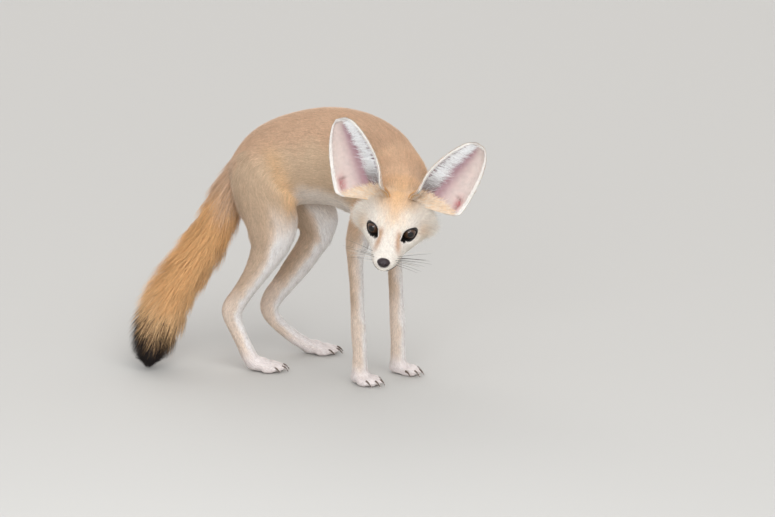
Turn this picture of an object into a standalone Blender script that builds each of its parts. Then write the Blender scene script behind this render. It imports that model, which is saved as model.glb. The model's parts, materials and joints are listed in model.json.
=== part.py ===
"""Fennec fox, life size, standing with an arched back and its head held low.

Tables are in millimetres. A place is given as (across, away, up) in a frame turned by TURN about
the vertical from the part's own axes, and place() brings it into the part's frame, in metres. The
head has a frame of its own, (right, forward, up), built on the middle between the two eyes.
"""

import math

import bmesh
import bpy
import numpy as np
from mathutils import Matrix

MM = 0.001
GAP = 0.3
COLLAR_GAP = 0.34
WELD = 2e-6
FEWEST_CORNERS = 20
TURN = math.radians(30)
FOOTPRINT_MIDDLE = (61.43, 0.1)
VOXEL = 1.5
BODY_TRIANGLES = 2900
HEAD_TRIANGLES = 1600
SOLE_DEPTH = 1.1
GROUND_BLOCK = 0.6

FUR_TAN = (0.55, 0.36, 0.22)
FUR_CREAM = (0.72, 0.61, 0.50)
FUR_BLACK = (0.03, 0.02, 0.018)
SKIN_PINK = (0.62, 0.42, 0.38)
NOSE_BLACK = (0.02, 0.014, 0.015)
EYE_BROWN = (0.05, 0.025, 0.012)

# The trunk from rump to breast: across, away, up, half width, half height.
TRUNK = (
    (-30, 37, 168, 7, 8),
    (-25, 36, 171, 15, 16),
    (-12, 32, 179, 25, 26),
    (10, 26, 191, 30, 38),
    (40, 17, 201, 32, 43),
    (70, 6, 205, 33, 45.5),
    (96, -7, 199, 35, 46.5),
    (117, -22, 187, 33, 41.5),
    (129, -37, 182, 28, 36),
    (135, -50, 178, 16, 21),
)
# The neck from inside the chest to inside the skull.
NECK = (
    (112, -18, 197, 24, 30),
    (122, -46, 191, 24, 27),
    (125, -68, 183, 24, 25),
    (125, -90, 175, 21, 21),
)
# Legs from the top down: across, away, up, half width sideways, half width fore and aft.
LEG_HIND_RIGHT = (
    (-14, 14, 205, 10, 14),
    (-6, 9, 186, 15, 25),
    (2, 4, 166, 15, 28),
    (9, 0, 146, 14, 24.5),
    (9, -3, 128, 13, 20.5),
    (3, -3, 111, 11, 15.5),
    (-7, 0, 92, 8.8, 11.5),
    (-19, 4, 73, 7, 10),
    (-28, 7, 57, 7, 10.5),
    (-26, 7, 44, 6.5, 8.2),
    (-19, 5, 28, 6.5, 7),
    (-12, 2, 13, 7.5, 7.6),
    (-8, 1, 6, 7, 7),
)
LEG_HIND_LEFT = (
    (-4, 46, 205, 10, 14),
    (6, 48, 188, 15, 25),
    (18, 51, 168, 15, 27),
    (36, 54, 150, 14, 26),
    (49, 56, 133, 13, 22),
    (50, 57, 117, 12, 17),
    (43, 58, 102, 10.5, 13.5),
    (33, 59, 87, 9, 13),
    (20, 60, 69, 7.5, 11),
    (8, 60, 53, 7, 10),
    (6, 60, 41, 6.5, 8.5),
    (16, 60, 27, 6.5, 6.8),
    (29, 60, 16, 6.8, 6.6),
    (40, 60, 9, 7.5, 6.5),
)
LEG_FRONT_RIGHT = (
    (108, -38, 188, 14, 20),
    (102, -41, 168, 14, 18),
    (95, -41, 151, 11, 14),
    (89, -40, 136, 9, 11),
    (87, -40, 118, 7.5, 8),
    (88, -40, 95, 6.6, 7),
    (89, -40, 70, 6.4, 7),
    (90, -40, 48, 7, 7.6),
    (91, -41, 30, 6.5, 7),
    (91, -41, 13, 7.5, 7.5),
    (92, -42, 6, 7, 7),
)
LEG_FRONT_LEFT = (
    (130, -6, 188, 14, 20),
    (127, -2, 168, 14, 18),
    (124, 0, 151, 11, 14),
    (122, 1, 136, 9, 11),
    (122.5, 0, 118, 7.5, 8),
    (124, -1, 95, 6.8, 7.2),
    (125, -3, 70, 6.6, 7.2),
    (126, -5, 48, 7.2, 7.8),
    (126.5, -6, 30, 6.6, 7.2),
    (126.5, -6, 13, 7.5, 7.5),
    (127, -7, 6, 7, 7),
)
# The cut between neck and trunk: a place on it, the way along the neck, half its size.
COLLAR_MIDDLE = (120.0, -38.0, 197.0)
COLLAR_ALONG = (0.42, -0.88, -0.2)
COLLAR_HALF = 65.0
# A place in the neck and one in the trunk, to tell the parted solids by.
IN_NECK = (126.0, -75.0, 190.0)
IN_TRUNK = (30.0, 20.0, 200.0)
# Paws: leg name, across and away of the ball of the foot, heading in degrees, size.
PAWS = (
    ("hind_right", 0, 0, -8, 1.0),
    ("hind_left", 50, 60, -4, 1.0),
    ("front_right", 94, -44, -40, 0.95),
    ("front_left", 130, -9, -38, 0.95),
)
# Toes: forward and sideways of the ball of the foot, half length.
TOES = ((12.5, 3.7, 9.0), (12.5, -3.7, 9.0), (6.5, 9.4, 8.0), (6.5, -9.4, 8.0))
TOE_HALF_WIDTH = 4.1
TOE_HALF_HEIGHT = 5.1
FOOT_RADII = (12.0, 9.0, 7.3)
FOOT_BACK = 3.0
CLAW_LENGTH = 7.0
CLAW_SINK = 3.5
CLAW_DROP = 5.2
CLAW_TIP_UP = 1.0
CLAW_RADIUS = 1.25
CLAW_TIP_RADIUS = 0.25
# Arches that part each leg from the trunk: across, away, up, side heading, radius, inner side.
LEG_ARCHES = {
    "hind_right": (-2, 20, 158, -98, 42, 0),
    "hind_left": (33, 38, 150, 82, 44, 0),
    "front_right": (96, -26, 158, -125, 22, 4),
    "front_left": (118, -14, 156, 55, 22, 4),
}
ARCH_FLARE = 25.0
ARCH_FLOOR = -5.0
ARCH_REACH = 90.0

EYE_MIDDLE = (120.0, -128.0, 168.3)
HEAD_TURN = math.radians(8)
HEAD_NOD = math.radians(13)
HEAD_ROLL = math.radians(8)
# The head from nose to nape: forward, middle level, half width, height above it, depth below it.
HEAD = (
    (46.0, -12.8, 3.0, 3.5, 3.5),
    (43.0, -13.0, 6.5, 6.0, 5.9),
    (38.0, -13.3, 9.6, 7.6, 7.8),
    (31.0, -13.8, 12.1, 9.4, 8.9),
    (23.0, -13.5, 13.7, 11.5, 10.3),
    (15.0, -12.5, 15.4, 14.0, 12.4),
    (7.0, -11.0, 18.0, 17.0, 14.6),
    (0.0, -9.5, 21.8, 19.5, 17.3),
    (-7.0, -8.0, 25.8, 22.0, 20.0),
    (-16.0, -6.6, 30.8, 25.0, 22.5),
    (-26.0, -5.2, 35.2, 26.7, 24.5),
    (-36.0, -4.2, 36.3, 26.2, 25.5),
    (-46.0, -4.0, 32.2, 23.0, 23.7),
    (-54.0, -3.0, 21.5, 16.0, 17.0),
    (-59.0, -2.0, 10.0, 8.0, 8.0),
)
# How much narrower the head is at its lowest than an ellipse.
CHEEK_TAPER = 0.2
HEAD_SIDES = 56
HEAD_ROWS = 64
EYE_RADIUS = 7.6
EYE_FRONT = (18.2, 0.6, 0.0)
EYE_OUTWARD = math.radians(22)
EYE_UPWARD = math.radians(5)
LID_THICK = 1.3
LID_OPENING = (13.2, 10.6)
LID_CORNERS = 1.15
LID_SLANT = 0.12
# The hole between the lids, from inside the eyeball outwards: distance from its middle, spread.
LID_HOLE = ((3.0, 0.9), (12.0, 1.25))
# Relief of the face from the front of an eye: inwards, forward, up, height, reach.
ORBIT = (0.0, 0.0, -1.0, -1.9, 6.5)
BROW = (1.0, -4.0, 9.0, 2.4, 6.0)
# The lower jaw: how much narrower it is, over what depth and what length it sets in.
JAW_NARROWING = 0.16
JAW_STEP = 1.5
JAW_RUN = 12.0
NOSE_CENTRE = (0.0, 43.6, -9.6)
NOSE_RADII = (5.6, 4.4, 4.6)
NOSTRIL_SET = (2.6, 3.6, -0.4)
NOSTRIL_RADII = (1.25, 2.0, 1.06)
MOUTH_FRONT = (43.4, -17.6)
MOUTH_CORNER = (14.0, -17.5)
LIP_RADIUS = 1.0
LIP_END_RADIUS = 0.6
MOUTH_GROOVE = 0.45
MOUTH_GROOVE_HEIGHT = 1.44
MOUTH_GROOVE_OUT = (1.07, 0.8)

# Ears: side, root in the head's frame, spread, backward lean, outward turn, length.
EARS = {
    "ear_right": (1, (32.8, -28.0, 22.0), 25.5, 14, 14, 72.0),
    "ear_left": (-1, (-35.8, -28.0, 21.8), 29.3, 14, 14, 70.5),
}
EAR_THICK = 1.9
# The ear from root to tip: share of the length, outward shift, half width, half angle of the cup.
EAR_ROWS = (
    (-0.26, -15.0, 6.0, 115),
    (-0.18, -12.0, 11.0, 110),
    (-0.09, -8.5, 17.0, 104),
    (0.0, -5.0, 21.5, 94),
    (0.1, -3.4, 24.2, 82),
    (0.24, -3.0, 25.4, 70),
    (0.4, -2.4, 24.8, 60),
    (0.56, -1.4, 22.2, 53),
    (0.71, -0.5, 18.4, 46),
    (0.84, 0.0, 13.8, 40),
    (0.93, 0.0, 9.2, 34),
    (1.0, 0.0, 3.4, 28),
)

# The tail from root to tip: across, away, up, half width.
TAIL = (
    (-17, 34, 181, 11),
    (-30, 32, 157, 16),
    (-41, 28, 131, 19.5),
    (-54, 25, 114, 21),
    (-66, 22, 98, 22),
    (-77, 19, 82, 22.3),
    (-86.5, 16, 66, 22.3),
    (-93.5, 13, 53, 22.2),
    (-97.5, 10.5, 41, 21.8),
    (-100, 8.5, 28, 20),
    (-101.5, 7, 16, 15.5),
    (-102.5, 6, 5.5, 5),
)
TAIL_STEPS = 80
TAIL_DIRECTION = 70
TAIL_DARK_BELOW = 40.0
# The brush: a core, and rows of flat tapered locks that are rooted in it and lie along the tail.
CORE_SHARE = 0.44
CORE_SIDES = 10
CORE_RINGS = 18
LOCK_ROWS = 11
LOCKS_ROUND = 6
FIRST_LOCK = 6.0
LAST_LOCK = 37.0
LOCK_LENGTH = 44.0
LOCK_WIDTH = 20.0
LOCK_THICK = 3.2
LOCK_BEND = 1.6
LOCK_ROOT_SHARE = 0.6
LOCK_SEED = 11
# How far a lock's place round the tail, start, length, fullness and sway may vary.
LOCK_VARIATION = (0.12, 3.0, 0.14, 0.05, 0.35)
# A lock's width and thickness from root to tip, as shares of the widest.
LOCK_TAPER = ((0.0, 0.4, 1.0), (0.35, 1.0, 1.0), (0.7, 0.8, 0.8), (1.0, 0.07, 0.3))


def place(points):
    """Brings places of the turned frame, in millimetres, into the part's frame, in metres."""
    points = np.asarray(points, float)
    across, away, up = points[..., 0], points[..., 1], points[..., 2]
    x = across * math.cos(TURN) - away * math.sin(TURN) - FOOTPRINT_MIDDLE[0]
    y = across * math.sin(TURN) + away * math.cos(TURN) - FOOTPRINT_MIDDLE[1]
    return np.stack([x, y, up], axis=-1) * MM


def head_axes():
    """The head's right, forward and up, as rows, in the turned frame."""
    forward = np.array([
        -math.sin(HEAD_TURN) * math.cos(HEAD_NOD),
        -math.cos(HEAD_TURN) * math.cos(HEAD_NOD),
        -math.sin(HEAD_NOD),
    ])
    level_right = np.array([-math.cos(HEAD_TURN), math.sin(HEAD_TURN), 0.0])
    level_up = np.cross(level_right, forward)
    right = math.cos(HEAD_ROLL) * level_right + math.sin(HEAD_ROLL) * level_up
    return np.stack([right, forward, np.cross(right, forward)])


def head_place(points):
    """Brings places of the head's frame into the part's frame, in metres."""
    return place(np.asarray(points, float) @ head_axes() + np.array(EYE_MIDDLE))


def through(rows, count):
    """Points of a smooth curve through the rows, a Catmull-Rom spline, count of them."""
    rows = np.asarray(rows, float)
    ends = np.vstack([2 * rows[0] - rows[1], rows, 2 * rows[-1] - rows[-2]])
    place_on = np.linspace(0, len(rows) - 1, count)
    first = np.minimum(place_on.astype(int), len(rows) - 2)
    t = (place_on - first)[:, None]
    a, b, c, d = (ends[first + step] for step in range(4))
    return 0.5 * (2 * b + (c - a) * t + (2 * a - 5 * b + 4 * c - d) * t**2
                  + (3 * b - a - 3 * c + d) * t**3)


def unit(vectors):
    """The vectors at length 1."""
    return vectors / np.linalg.norm(vectors, axis=-1, keepdims=True)


def sections(path, side, half_widths, half_heights, sides):
    """Elliptic rings square to a path, each with its width along the side direction."""
    along = unit(np.gradient(path, axis=0))
    across = unit(side - (along @ side)[:, None] * along)
    upright = np.cross(along, across)
    angle = np.linspace(0, 2 * math.pi, sides, endpoint=False)
    ring = (across[:, None] * np.cos(angle)[None, :, None] * half_widths[:, None, None]
            + upright[:, None] * np.sin(angle)[None, :, None] * half_heights[:, None, None])
    return path[:, None] + ring


def finish(name, colour, roughness):
    """A plain material of one colour."""
    material = bpy.data.materials.new(name)
    material.use_nodes = True
    shader = material.node_tree.nodes["Principled BSDF"]
    shader.inputs["Base Color"].default_value = (*colour, 1)
    shader.inputs["Roughness"].default_value = roughness
    return material


def add_object(name, mesh, colour=FUR_TAN, roughness=0.9):
    """Links a mesh as a named object of the fox, with a material of its own."""
    mesh.materials.clear()
    mesh.materials.append(finish(name, colour, roughness))
    piece = bpy.data.objects.new(name, mesh)
    bpy.data.collections["fennec_fox"].objects.link(piece)
    return piece


def helper(name, shape):
    """Makes an object of the helpers' collection from a bmesh or a mesh."""
    if isinstance(shape, bmesh.types.BMesh):
        mesh = bpy.data.meshes.new(name)
        shape.to_mesh(mesh)
        shape.free()
    else:
        mesh = shape
    piece = bpy.data.objects.new(name, mesh)
    bpy.data.collections["helpers"].objects.link(piece)
    return piece


def remove(*pieces):
    """Takes objects and their meshes out of the file."""
    for piece in pieces:
        mesh = piece.data
        bpy.data.objects.remove(piece)
        if mesh.users == 0:
            bpy.data.meshes.remove(mesh)


def closed_loft(name, rings):
    """A closed skin over rings of points, with a point at the middle of each end."""
    rings = np.asarray(rings)
    shape = bmesh.new()
    rows = [[shape.verts.new(point) for point in ring] for ring in rings]
    sides = len(rows[0])
    for row, after in zip(rows, rows[1:]):
        for i in range(sides):
            j = (i + 1) % sides
            shape.faces.new((row[i], row[j], after[j], after[i]))
    for row, ring in ((rows[0], rings[0]), (rows[-1], rings[-1])):
        middle = shape.verts.new(ring.mean(axis=0))
        for i in range(sides):
            shape.faces.new((row[i], row[(i + 1) % sides], middle))
    bmesh.ops.triangulate(shape, faces=shape.faces)
    bmesh.ops.recalc_face_normals(shape, faces=shape.faces)
    return helper(name, shape)


def limb(name, rows, side, sides=20, steps=5):
    """A loft along a table of across, away, up, half width and half depth."""
    table = through(rows, (len(rows) - 1) * steps + 1)
    rings = sections(table[:, :3], np.asarray(side, float), table[:, 3], table[:, 4], sides)
    return closed_loft(name, place(rings))


def ball(name, centre, radii, axes=np.eye(3), segments=16, to_part=place):
    """An ellipsoid with its radii along the rows of axes."""
    shape = bmesh.new()
    bmesh.ops.create_uvsphere(shape, u_segments=segments, v_segments=segments // 2 + 1, radius=1)
    points = np.array([vert.co[:] for vert in shape.verts])
    moved = to_part((points * np.asarray(radii)) @ np.asarray(axes) + np.asarray(centre))
    for vert, co in zip(shape.verts, moved):
        vert.co = co
    bmesh.ops.recalc_face_normals(shape, faces=shape.faces)
    return helper(name, shape)


def evaluated_mesh(piece):
    """The mesh that the piece's modifiers give."""
    graph = bpy.context.evaluated_depsgraph_get()
    return bpy.data.meshes.new_from_object(piece.evaluated_get(graph))


def bake_modifiers(piece):
    """Puts what the modifiers give into the piece's own mesh."""
    old = piece.data
    piece.data = evaluated_mesh(piece)
    piece.modifiers.clear()
    if old.users == 0:
        bpy.data.meshes.remove(old)


def combine(piece, other, operation, solver="EXACT"):
    """Joins other to the piece, or cuts it away, and takes other out of the file."""
    cut = piece.modifiers.new(operation.lower(), "BOOLEAN")
    cut.operation = operation
    cut.object = other
    cut.solver = solver
    bake_modifiers(piece)
    remove(other)


def copy_of(piece, name="copy"):
    """A copy of the piece among the helpers."""
    return helper(name, piece.data.copy())


def swollen(piece, amount=GAP):
    """A copy of the piece with its surface moved out by the amount."""
    grown = copy_of(piece, "swollen")
    mesh = grown.data
    count = len(mesh.vertices)
    points = np.empty(count * 3, np.float32)
    normals = np.empty(count * 3, np.float32)
    mesh.vertices.foreach_get("co", points)
    mesh.vertices.foreach_get("normal", normals)
    mesh.vertices.foreach_set("co", points + normals * amount * MM)
    mesh.update()
    return grown


def surfaces(shape):
    """The vertices of each connected surface of a bmesh."""
    left = set(shape.verts)
    found = []
    while left:
        group = {left.pop()}
        front = list(group)
        while front:
            vert = front.pop()
            for edge in vert.link_edges:
                other = edge.other_vert(vert)
                if other in left:
                    left.discard(other)
                    group.add(other)
                    front.append(other)
        found.append(group)
    return found


def keep_surface(shape, kept):
    """Takes every vertex out of a bmesh but those of one surface."""
    loose = [vert for vert in shape.verts if vert not in kept]
    bmesh.ops.delete(shape, geom=loose, context="VERTS")


def largest_part(piece, weld=WELD):
    """Keeps only the largest closed surface of the piece, as clean triangles."""
    shape = bmesh.new()
    shape.from_mesh(piece.data)
    bmesh.ops.remove_doubles(shape, verts=shape.verts, dist=weld)
    bmesh.ops.triangulate(shape, faces=shape.faces)
    bmesh.ops.dissolve_degenerate(shape, edges=shape.edges, dist=2 * weld)
    bmesh.ops.triangulate(shape, faces=shape.faces)
    keep_surface(shape, max(surfaces(shape), key=len))
    shape.to_mesh(piece.data)
    shape.free()


def fused(name, pieces, triangles, voxel=VOXEL, rounds=5):
    """One smooth skin round all the pieces."""
    shape = bmesh.new()
    for piece in pieces:
        shape.from_mesh(piece.data)
    whole = helper(name, shape)
    remove(*pieces)
    remesh = whole.modifiers.new("skin", "REMESH")
    remesh.mode = "VOXEL"
    remesh.voxel_size = voxel * MM
    soften = whole.modifiers.new("soften", "SMOOTH")
    soften.iterations = rounds
    bake_modifiers(whole)
    thin_out(whole, triangles)
    return whole


def thin_out(piece, triangles):
    """Brings a mesh down to about this many triangles, fewest where it is flat."""
    thin = piece.modifiers.new("thin", "DECIMATE")
    faces = sum(len(face.vertices) - 2 for face in piece.data.polygons)
    thin.ratio = triangles / faces
    bake_modifiers(piece)


def direction(degrees):
    """A level direction at an angle from across towards away."""
    angle = math.radians(degrees)
    return np.array([math.cos(angle), math.sin(angle), 0.0])


def paw_pieces(name, across, away, heading, size):
    """The ball of a foot and its four toes."""
    forward = direction(heading)
    side = direction(heading + 90)
    axes = np.stack([forward, side, [0, 0, 1]])
    middle = np.array([across, away, 0.0])
    pieces = [
        ball(name, middle - forward * FOOT_BACK * size + [0, 0, FOOT_RADII[2] * size - SOLE_DEPTH],
             np.array(FOOT_RADII) * size, axes)
    ]
    for ahead, aside, half_length in TOES:
        centre = middle + (forward * ahead + side * aside) * size
        centre[2] = TOE_HALF_HEIGHT * size - SOLE_DEPTH
        radii = np.array([half_length, TOE_HALF_WIDTH, TOE_HALF_HEIGHT]) * size
        pieces.append(ball(name, centre, radii, axes, 12))
    return pieces


def claw(across, away, heading, size, ahead, aside, half_length):
    """A small curved claw out of the end of a toe."""
    forward = direction(heading)
    side = direction(heading + 90)
    root = np.array([across, away, 0.0]) + (forward * ahead + side * aside) * size
    steps = np.linspace(0, 1, 4)[:, None]
    path = root + forward * (half_length * size - CLAW_SINK + CLAW_LENGTH * steps)
    path = path + np.array([0, 0, 1.0]) * (CLAW_TIP_UP + CLAW_DROP * (1 - steps**2))
    radius = CLAW_RADIUS * (1 - steps[:, 0]) ** 0.7 + CLAW_TIP_RADIUS
    return closed_loft("claw", place(sections(path, side, radius, radius * 1.15, 6)))


def arch(name, across, away, up, side_heading, radius, inner, grow=0.0):
    """A prism with a round top and open below, from a leg's inner side outwards."""
    outward = direction(side_heading)
    along = direction(side_heading + 90)
    angle = np.linspace(0, math.pi, 25)
    outline = [(math.cos(a) * (radius + grow), up + math.sin(a) * (radius + grow)) for a in angle]
    outline += [(-radius - grow - ARCH_FLARE, ARCH_FLOOR), (radius + grow + ARCH_FLARE, ARCH_FLOOR)]
    middle = np.array([across, away, 0.0])
    rings = [
        [middle + along * x + outward * depth + np.array([0, 0, z]) for x, z in outline]
        for depth in (inner - grow, inner + ARCH_REACH)
    ]
    return closed_loft(name, place(rings))


def head_ring(forward, middle, half_width, above, below, sides=HEAD_SIDES):
    """One section of the head, an ellipse that is narrower below its middle."""
    angle = np.linspace(0, 2 * math.pi, sides, endpoint=False)
    rise = np.sin(angle)
    across = np.cos(angle) * (1 - CHEEK_TAPER * np.maximum(0, -rise))
    level = middle + np.where(rise > 0, above, below) * rise
    return np.stack([half_width * across, np.full(sides, forward), level], axis=-1)


def head_half_width(forward, level):
    """Half the width of the head at a place forward and a level."""
    table = through(HEAD, 200)[::-1]
    middle, widest, above, below = (
        np.interp(forward, table[:, 0], table[:, column]) for column in range(1, 5)
    )
    rise = (level - middle) / (above if level > middle else below)
    return widest * math.sqrt(max(0.0, 1 - rise**2)) * (1 - CHEEK_TAPER * max(0.0, -rise))


def eye_axes(side):
    """Outward-looking axes of an eye: across, forward and up, in the head's frame."""
    forward = np.array([
        side * math.sin(EYE_OUTWARD) * math.cos(EYE_UPWARD),
        math.cos(EYE_OUTWARD) * math.cos(EYE_UPWARD),
        math.sin(EYE_UPWARD),
    ])
    across = unit(np.cross(forward, [0, 0, 1.0]))
    return np.stack([across, forward, np.cross(across, forward)])


def eye_centre(side):
    """The middle of an eyeball in the head's frame."""
    front = np.array(EYE_FRONT) * [side, 1, 1]
    return front - eye_axes(side)[1] * EYE_RADIUS


def lid_opening(side):
    """The almond-shaped hole between the lids of one eye."""
    across, forward, up = eye_axes(side)
    angle = np.linspace(0, 2 * math.pi, 20, endpoint=False)
    wide = np.cos(angle) * LID_OPENING[0] / 2
    high = np.sign(np.sin(angle)) * np.abs(np.sin(angle)) ** LID_CORNERS * LID_OPENING[1] / 2
    high = high + wide * side * LID_SLANT
    flat = wide[:, None] * across + high[:, None] * up
    rings = [eye_centre(side) + forward * depth + flat * spread for depth, spread in LID_HOLE]
    return closed_loft("opening", head_place(rings))


def mouth_path():
    """The line of the closed mouth, from one corner round the front to the other."""
    t = np.linspace(-1, 1, 19)
    forward = MOUTH_CORNER[0] + (MOUTH_FRONT[0] - MOUTH_CORNER[0]) * (1 - np.abs(t) ** 2.2)
    level = MOUTH_FRONT[1] + (MOUTH_CORNER[1] - MOUTH_FRONT[1]) * np.abs(t) ** 3
    half = np.array([head_half_width(f, z) for f, z in zip(forward, level)])
    across = half * np.sign(t) * np.minimum(1, np.abs(t) * 4)
    return np.stack([across, forward, level], axis=-1)


def face_relief(points):
    """Sinks the orbits, raises the brows and narrows the lower jaw of points on the head."""
    points = points.copy()
    jaw = np.clip((MOUTH_FRONT[1] - points[..., 2]) / JAW_STEP, 0, 1)
    jaw = jaw * np.clip((points[..., 1] - MOUTH_CORNER[0]) / JAW_RUN + 0.5, 0, 1)
    points[..., 0] *= 1 - JAW_NARROWING * jaw
    moved = points.copy()
    for side in (1, -1):
        forward = eye_axes(side)[1]
        front = np.array(EYE_FRONT) * [side, 1, 1]
        for inwards, ahead, up, height, reach in (ORBIT, BROW):
            centre = front + [-side * inwards, ahead, up]
            distance = np.linalg.norm(points - centre, axis=-1, keepdims=True)
            moved += forward * height * np.exp(-((distance / reach) ** 2))
    return moved


def build_head():
    """The head with lids, lips and mouth, the nose, and the two eyeballs."""
    rows = through(HEAD, HEAD_ROWS)
    rings = face_relief(np.array([head_ring(*row) for row in rows]))
    head = closed_loft("head_whole", head_place(rings))
    thin_out(head, HEAD_TRIANGLES)
    smooth_head = copy_of(head, "smooth_head")
    for side in (1, -1):
        lids = ball("lids", eye_centre(side), [EYE_RADIUS + LID_THICK] * 3, segments=14,
                    to_part=head_place)
        combine(head, lids, "UNION")
    line = mouth_path()
    ends = np.full(len(line), LIP_RADIUS)
    ends[[0, -1]] = LIP_END_RADIUS
    lips = closed_loft("lips", head_place(sections(line, np.array([0, 0, 1.0]), ends, ends, 6)))
    combine(head, lips, "UNION")
    half, deep = np.full(len(line), MOUTH_GROOVE), np.full(len(line), MOUTH_GROOVE_HEIGHT)
    wider, ahead = MOUTH_GROOVE_OUT
    outward = line * [wider, 1, 1] + [0, ahead, 0]
    groove = sections(outward, np.array([0, 0, 1.0]), half, deep, 6)
    combine(head, closed_loft("groove", head_place(groove)), "DIFFERENCE")
    for side, name in ((1, "eye_right"), (-1, "eye_left")):
        centre = eye_centre(side)
        socket = ball("socket", centre, [EYE_RADIUS + GAP] * 3, eye_axes(side), 16, head_place)
        combine(head, socket, "DIFFERENCE")
        combine(head, lid_opening(side), "DIFFERENCE")
        eye = ball("eye", centre, [EYE_RADIUS] * 3, eye_axes(side), 14, head_place)
        add_object(name, eye.data, EYE_BROWN, 0.05)
        bpy.data.objects.remove(eye)
    nose = ball("nose_whole", NOSE_CENTRE, NOSE_RADII, segments=14, to_part=head_place)
    combine(head, swollen(nose), "DIFFERENCE")
    for side in (1, -1):
        at = np.array(NOSE_CENTRE) + np.array(NOSTRIL_SET) * [side, 1, 1]
        nostril = ball("nostril", at, NOSTRIL_RADII, segments=8, to_part=head_place)
        combine(nose, nostril, "DIFFERENCE")
    largest_part(nose)
    add_object("nose", nose.data, NOSE_BLACK, 0.35)
    bpy.data.objects.remove(nose)
    return head, smooth_head


def ear_shape(side, root, spread, lean, turn, length, sides=12, steps=15):
    """A thin cup: a trough that opens forwards, wide at a third of its height, with a round tip."""
    spread, lean, turn = map(math.radians, (spread, lean, turn))
    axis = np.array([
        side * math.sin(spread),
        -math.cos(spread) * math.sin(lean),
        math.cos(spread) * math.cos(lean),
    ])
    ahead = unit(np.array([0, 1.0, 0]) - axis[1] * axis)
    aside = side * np.cross(ahead, axis)
    facing = ahead * math.cos(turn) + aside * math.sin(turn)
    out = aside * math.cos(turn) - ahead * math.sin(turn)
    share, shift, half_width, cup = through(EAR_ROWS, steps).T
    cup = np.radians(cup)
    bend = cup[:, None] * np.linspace(-1, 1, sides)[None]
    radius = half_width / np.sin(np.minimum(cup, math.pi / 2))
    sideways = radius[:, None] * np.sin(bend) + shift[:, None]
    forward = radius[:, None] * (1 - np.cos(bend) - 0.35)
    outer = (np.array(root) + (share * length)[:, None, None] * axis
             + sideways[..., None] * out + forward[..., None] * facing)
    normal = np.sin(bend)[..., None] * out - np.cos(bend)[..., None] * facing
    taper = np.clip((1.02 - share) * 6, 0.35, 1)[:, None, None]
    return outer, outer - normal * EAR_THICK * taper


def build_ear(name, numbers, head):
    """One ear, cut clear of the head."""
    outer, inner = ear_shape(*numbers)
    rings = [np.vstack([o, i[::-1]]) for o, i in zip(outer, inner)]
    shape = bmesh.new()
    points = head_place(np.array(rings))
    rows = [[shape.verts.new(point) for point in ring] for ring in points]
    count = len(rows[0])
    half = count // 2
    for row, after in zip(rows, rows[1:]):
        for i in range(count):
            j = (i + 1) % count
            shape.faces.new((row[i], row[j], after[j]))
            shape.faces.new((row[i], after[j], after[i]))
    for row in (rows[0], rows[-1]):
        for i in range(half - 1):
            j = count - 1 - i
            shape.faces.new((row[i], row[i + 1], row[j - 1], row[j]))
    bmesh.ops.recalc_face_normals(shape, faces=shape.faces)
    ear = helper(name + "_whole", shape)
    combine(ear, swollen(head), "DIFFERENCE")
    largest_part(ear)
    add_object(name, ear.data, SKIN_PINK, 0.8)
    bpy.data.objects.remove(ear)


def build_body(head):
    """The trunk, neck, legs and paws as one skin, parted into their nodes."""
    pieces = [
        limb("trunk", TRUNK, direction(70), 28),
        limb("throat", NECK, direction(0), 24),
        limb("leg", LEG_HIND_RIGHT, direction(80)),
        limb("leg", LEG_HIND_LEFT, direction(82)),
        limb("leg", LEG_FRONT_RIGHT, direction(55)),
        limb("leg", LEG_FRONT_LEFT, direction(55)),
    ]
    for paw in PAWS:
        pieces += paw_pieces(*paw)
    body = fused("body", pieces, BODY_TRIANGLES)
    for name, across, away, heading, size in PAWS:
        for toe in TOES:
            combine(body, claw(across, away, heading, size, *toe), "UNION")
    ground = bmesh.new()
    lower = Matrix.Translation((0, 0, -GROUND_BLOCK / 2))
    bmesh.ops.create_cube(ground, size=GROUND_BLOCK, matrix=lower)
    combine(body, helper("ground", ground), "DIFFERENCE")
    combine(body, swollen(head), "DIFFERENCE")
    largest_part(body)
    whole = copy_of(body, "body_whole")
    for leg, numbers in LEG_ARCHES.items():
        piece = copy_of(whole, leg)
        combine(piece, arch("arch", *numbers), "INTERSECT")
        largest_part(piece)
        add_object("leg_" + leg, piece.data, FUR_CREAM)
        bpy.data.objects.remove(piece)
        combine(body, arch("arch", *numbers, grow=GAP), "DIFFERENCE")
    combine(body, collar_cut(), "DIFFERENCE")
    neck = copy_of(body, "neck_cut")
    keep_side(neck, IN_NECK)
    keep_side(body, IN_TRUNK)
    add_object("neck", neck.data, FUR_TAN)
    add_object("torso", body.data, FUR_TAN)
    bpy.data.objects.remove(neck)
    bpy.data.objects.remove(body)
    return whole


def collar_cut():
    """A thin square plate across the neck."""
    along = unit(np.array(COLLAR_ALONG))
    side = unit(np.cross(along, [0, 0, 1.0]))
    up = np.cross(side, along)
    corners = [(-1, -1), (1, -1), (1, 1), (-1, 1)]
    rings = [
        [COLLAR_MIDDLE + along * depth + (side * a + up * b) * COLLAR_HALF for a, b in corners]
        for depth in (-COLLAR_GAP / 2, COLLAR_GAP / 2)
    ]
    return closed_loft("collar", place(rings))


def keep_side(piece, near):
    """Keeps the closed surface of the piece that comes nearest to a place."""
    target = place(near)
    shape = bmesh.new()
    shape.from_mesh(piece.data)
    large = [group for group in surfaces(shape) if len(group) > FEWEST_CORNERS]
    middles = [np.mean([vert.co[:] for vert in group], axis=0) for group in large]
    distances = [np.linalg.norm(middle - target) for middle in middles]
    keep_surface(shape, large[int(np.argmin(distances))])
    shape.to_mesh(piece.data)
    shape.free()
    largest_part(piece)


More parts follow.
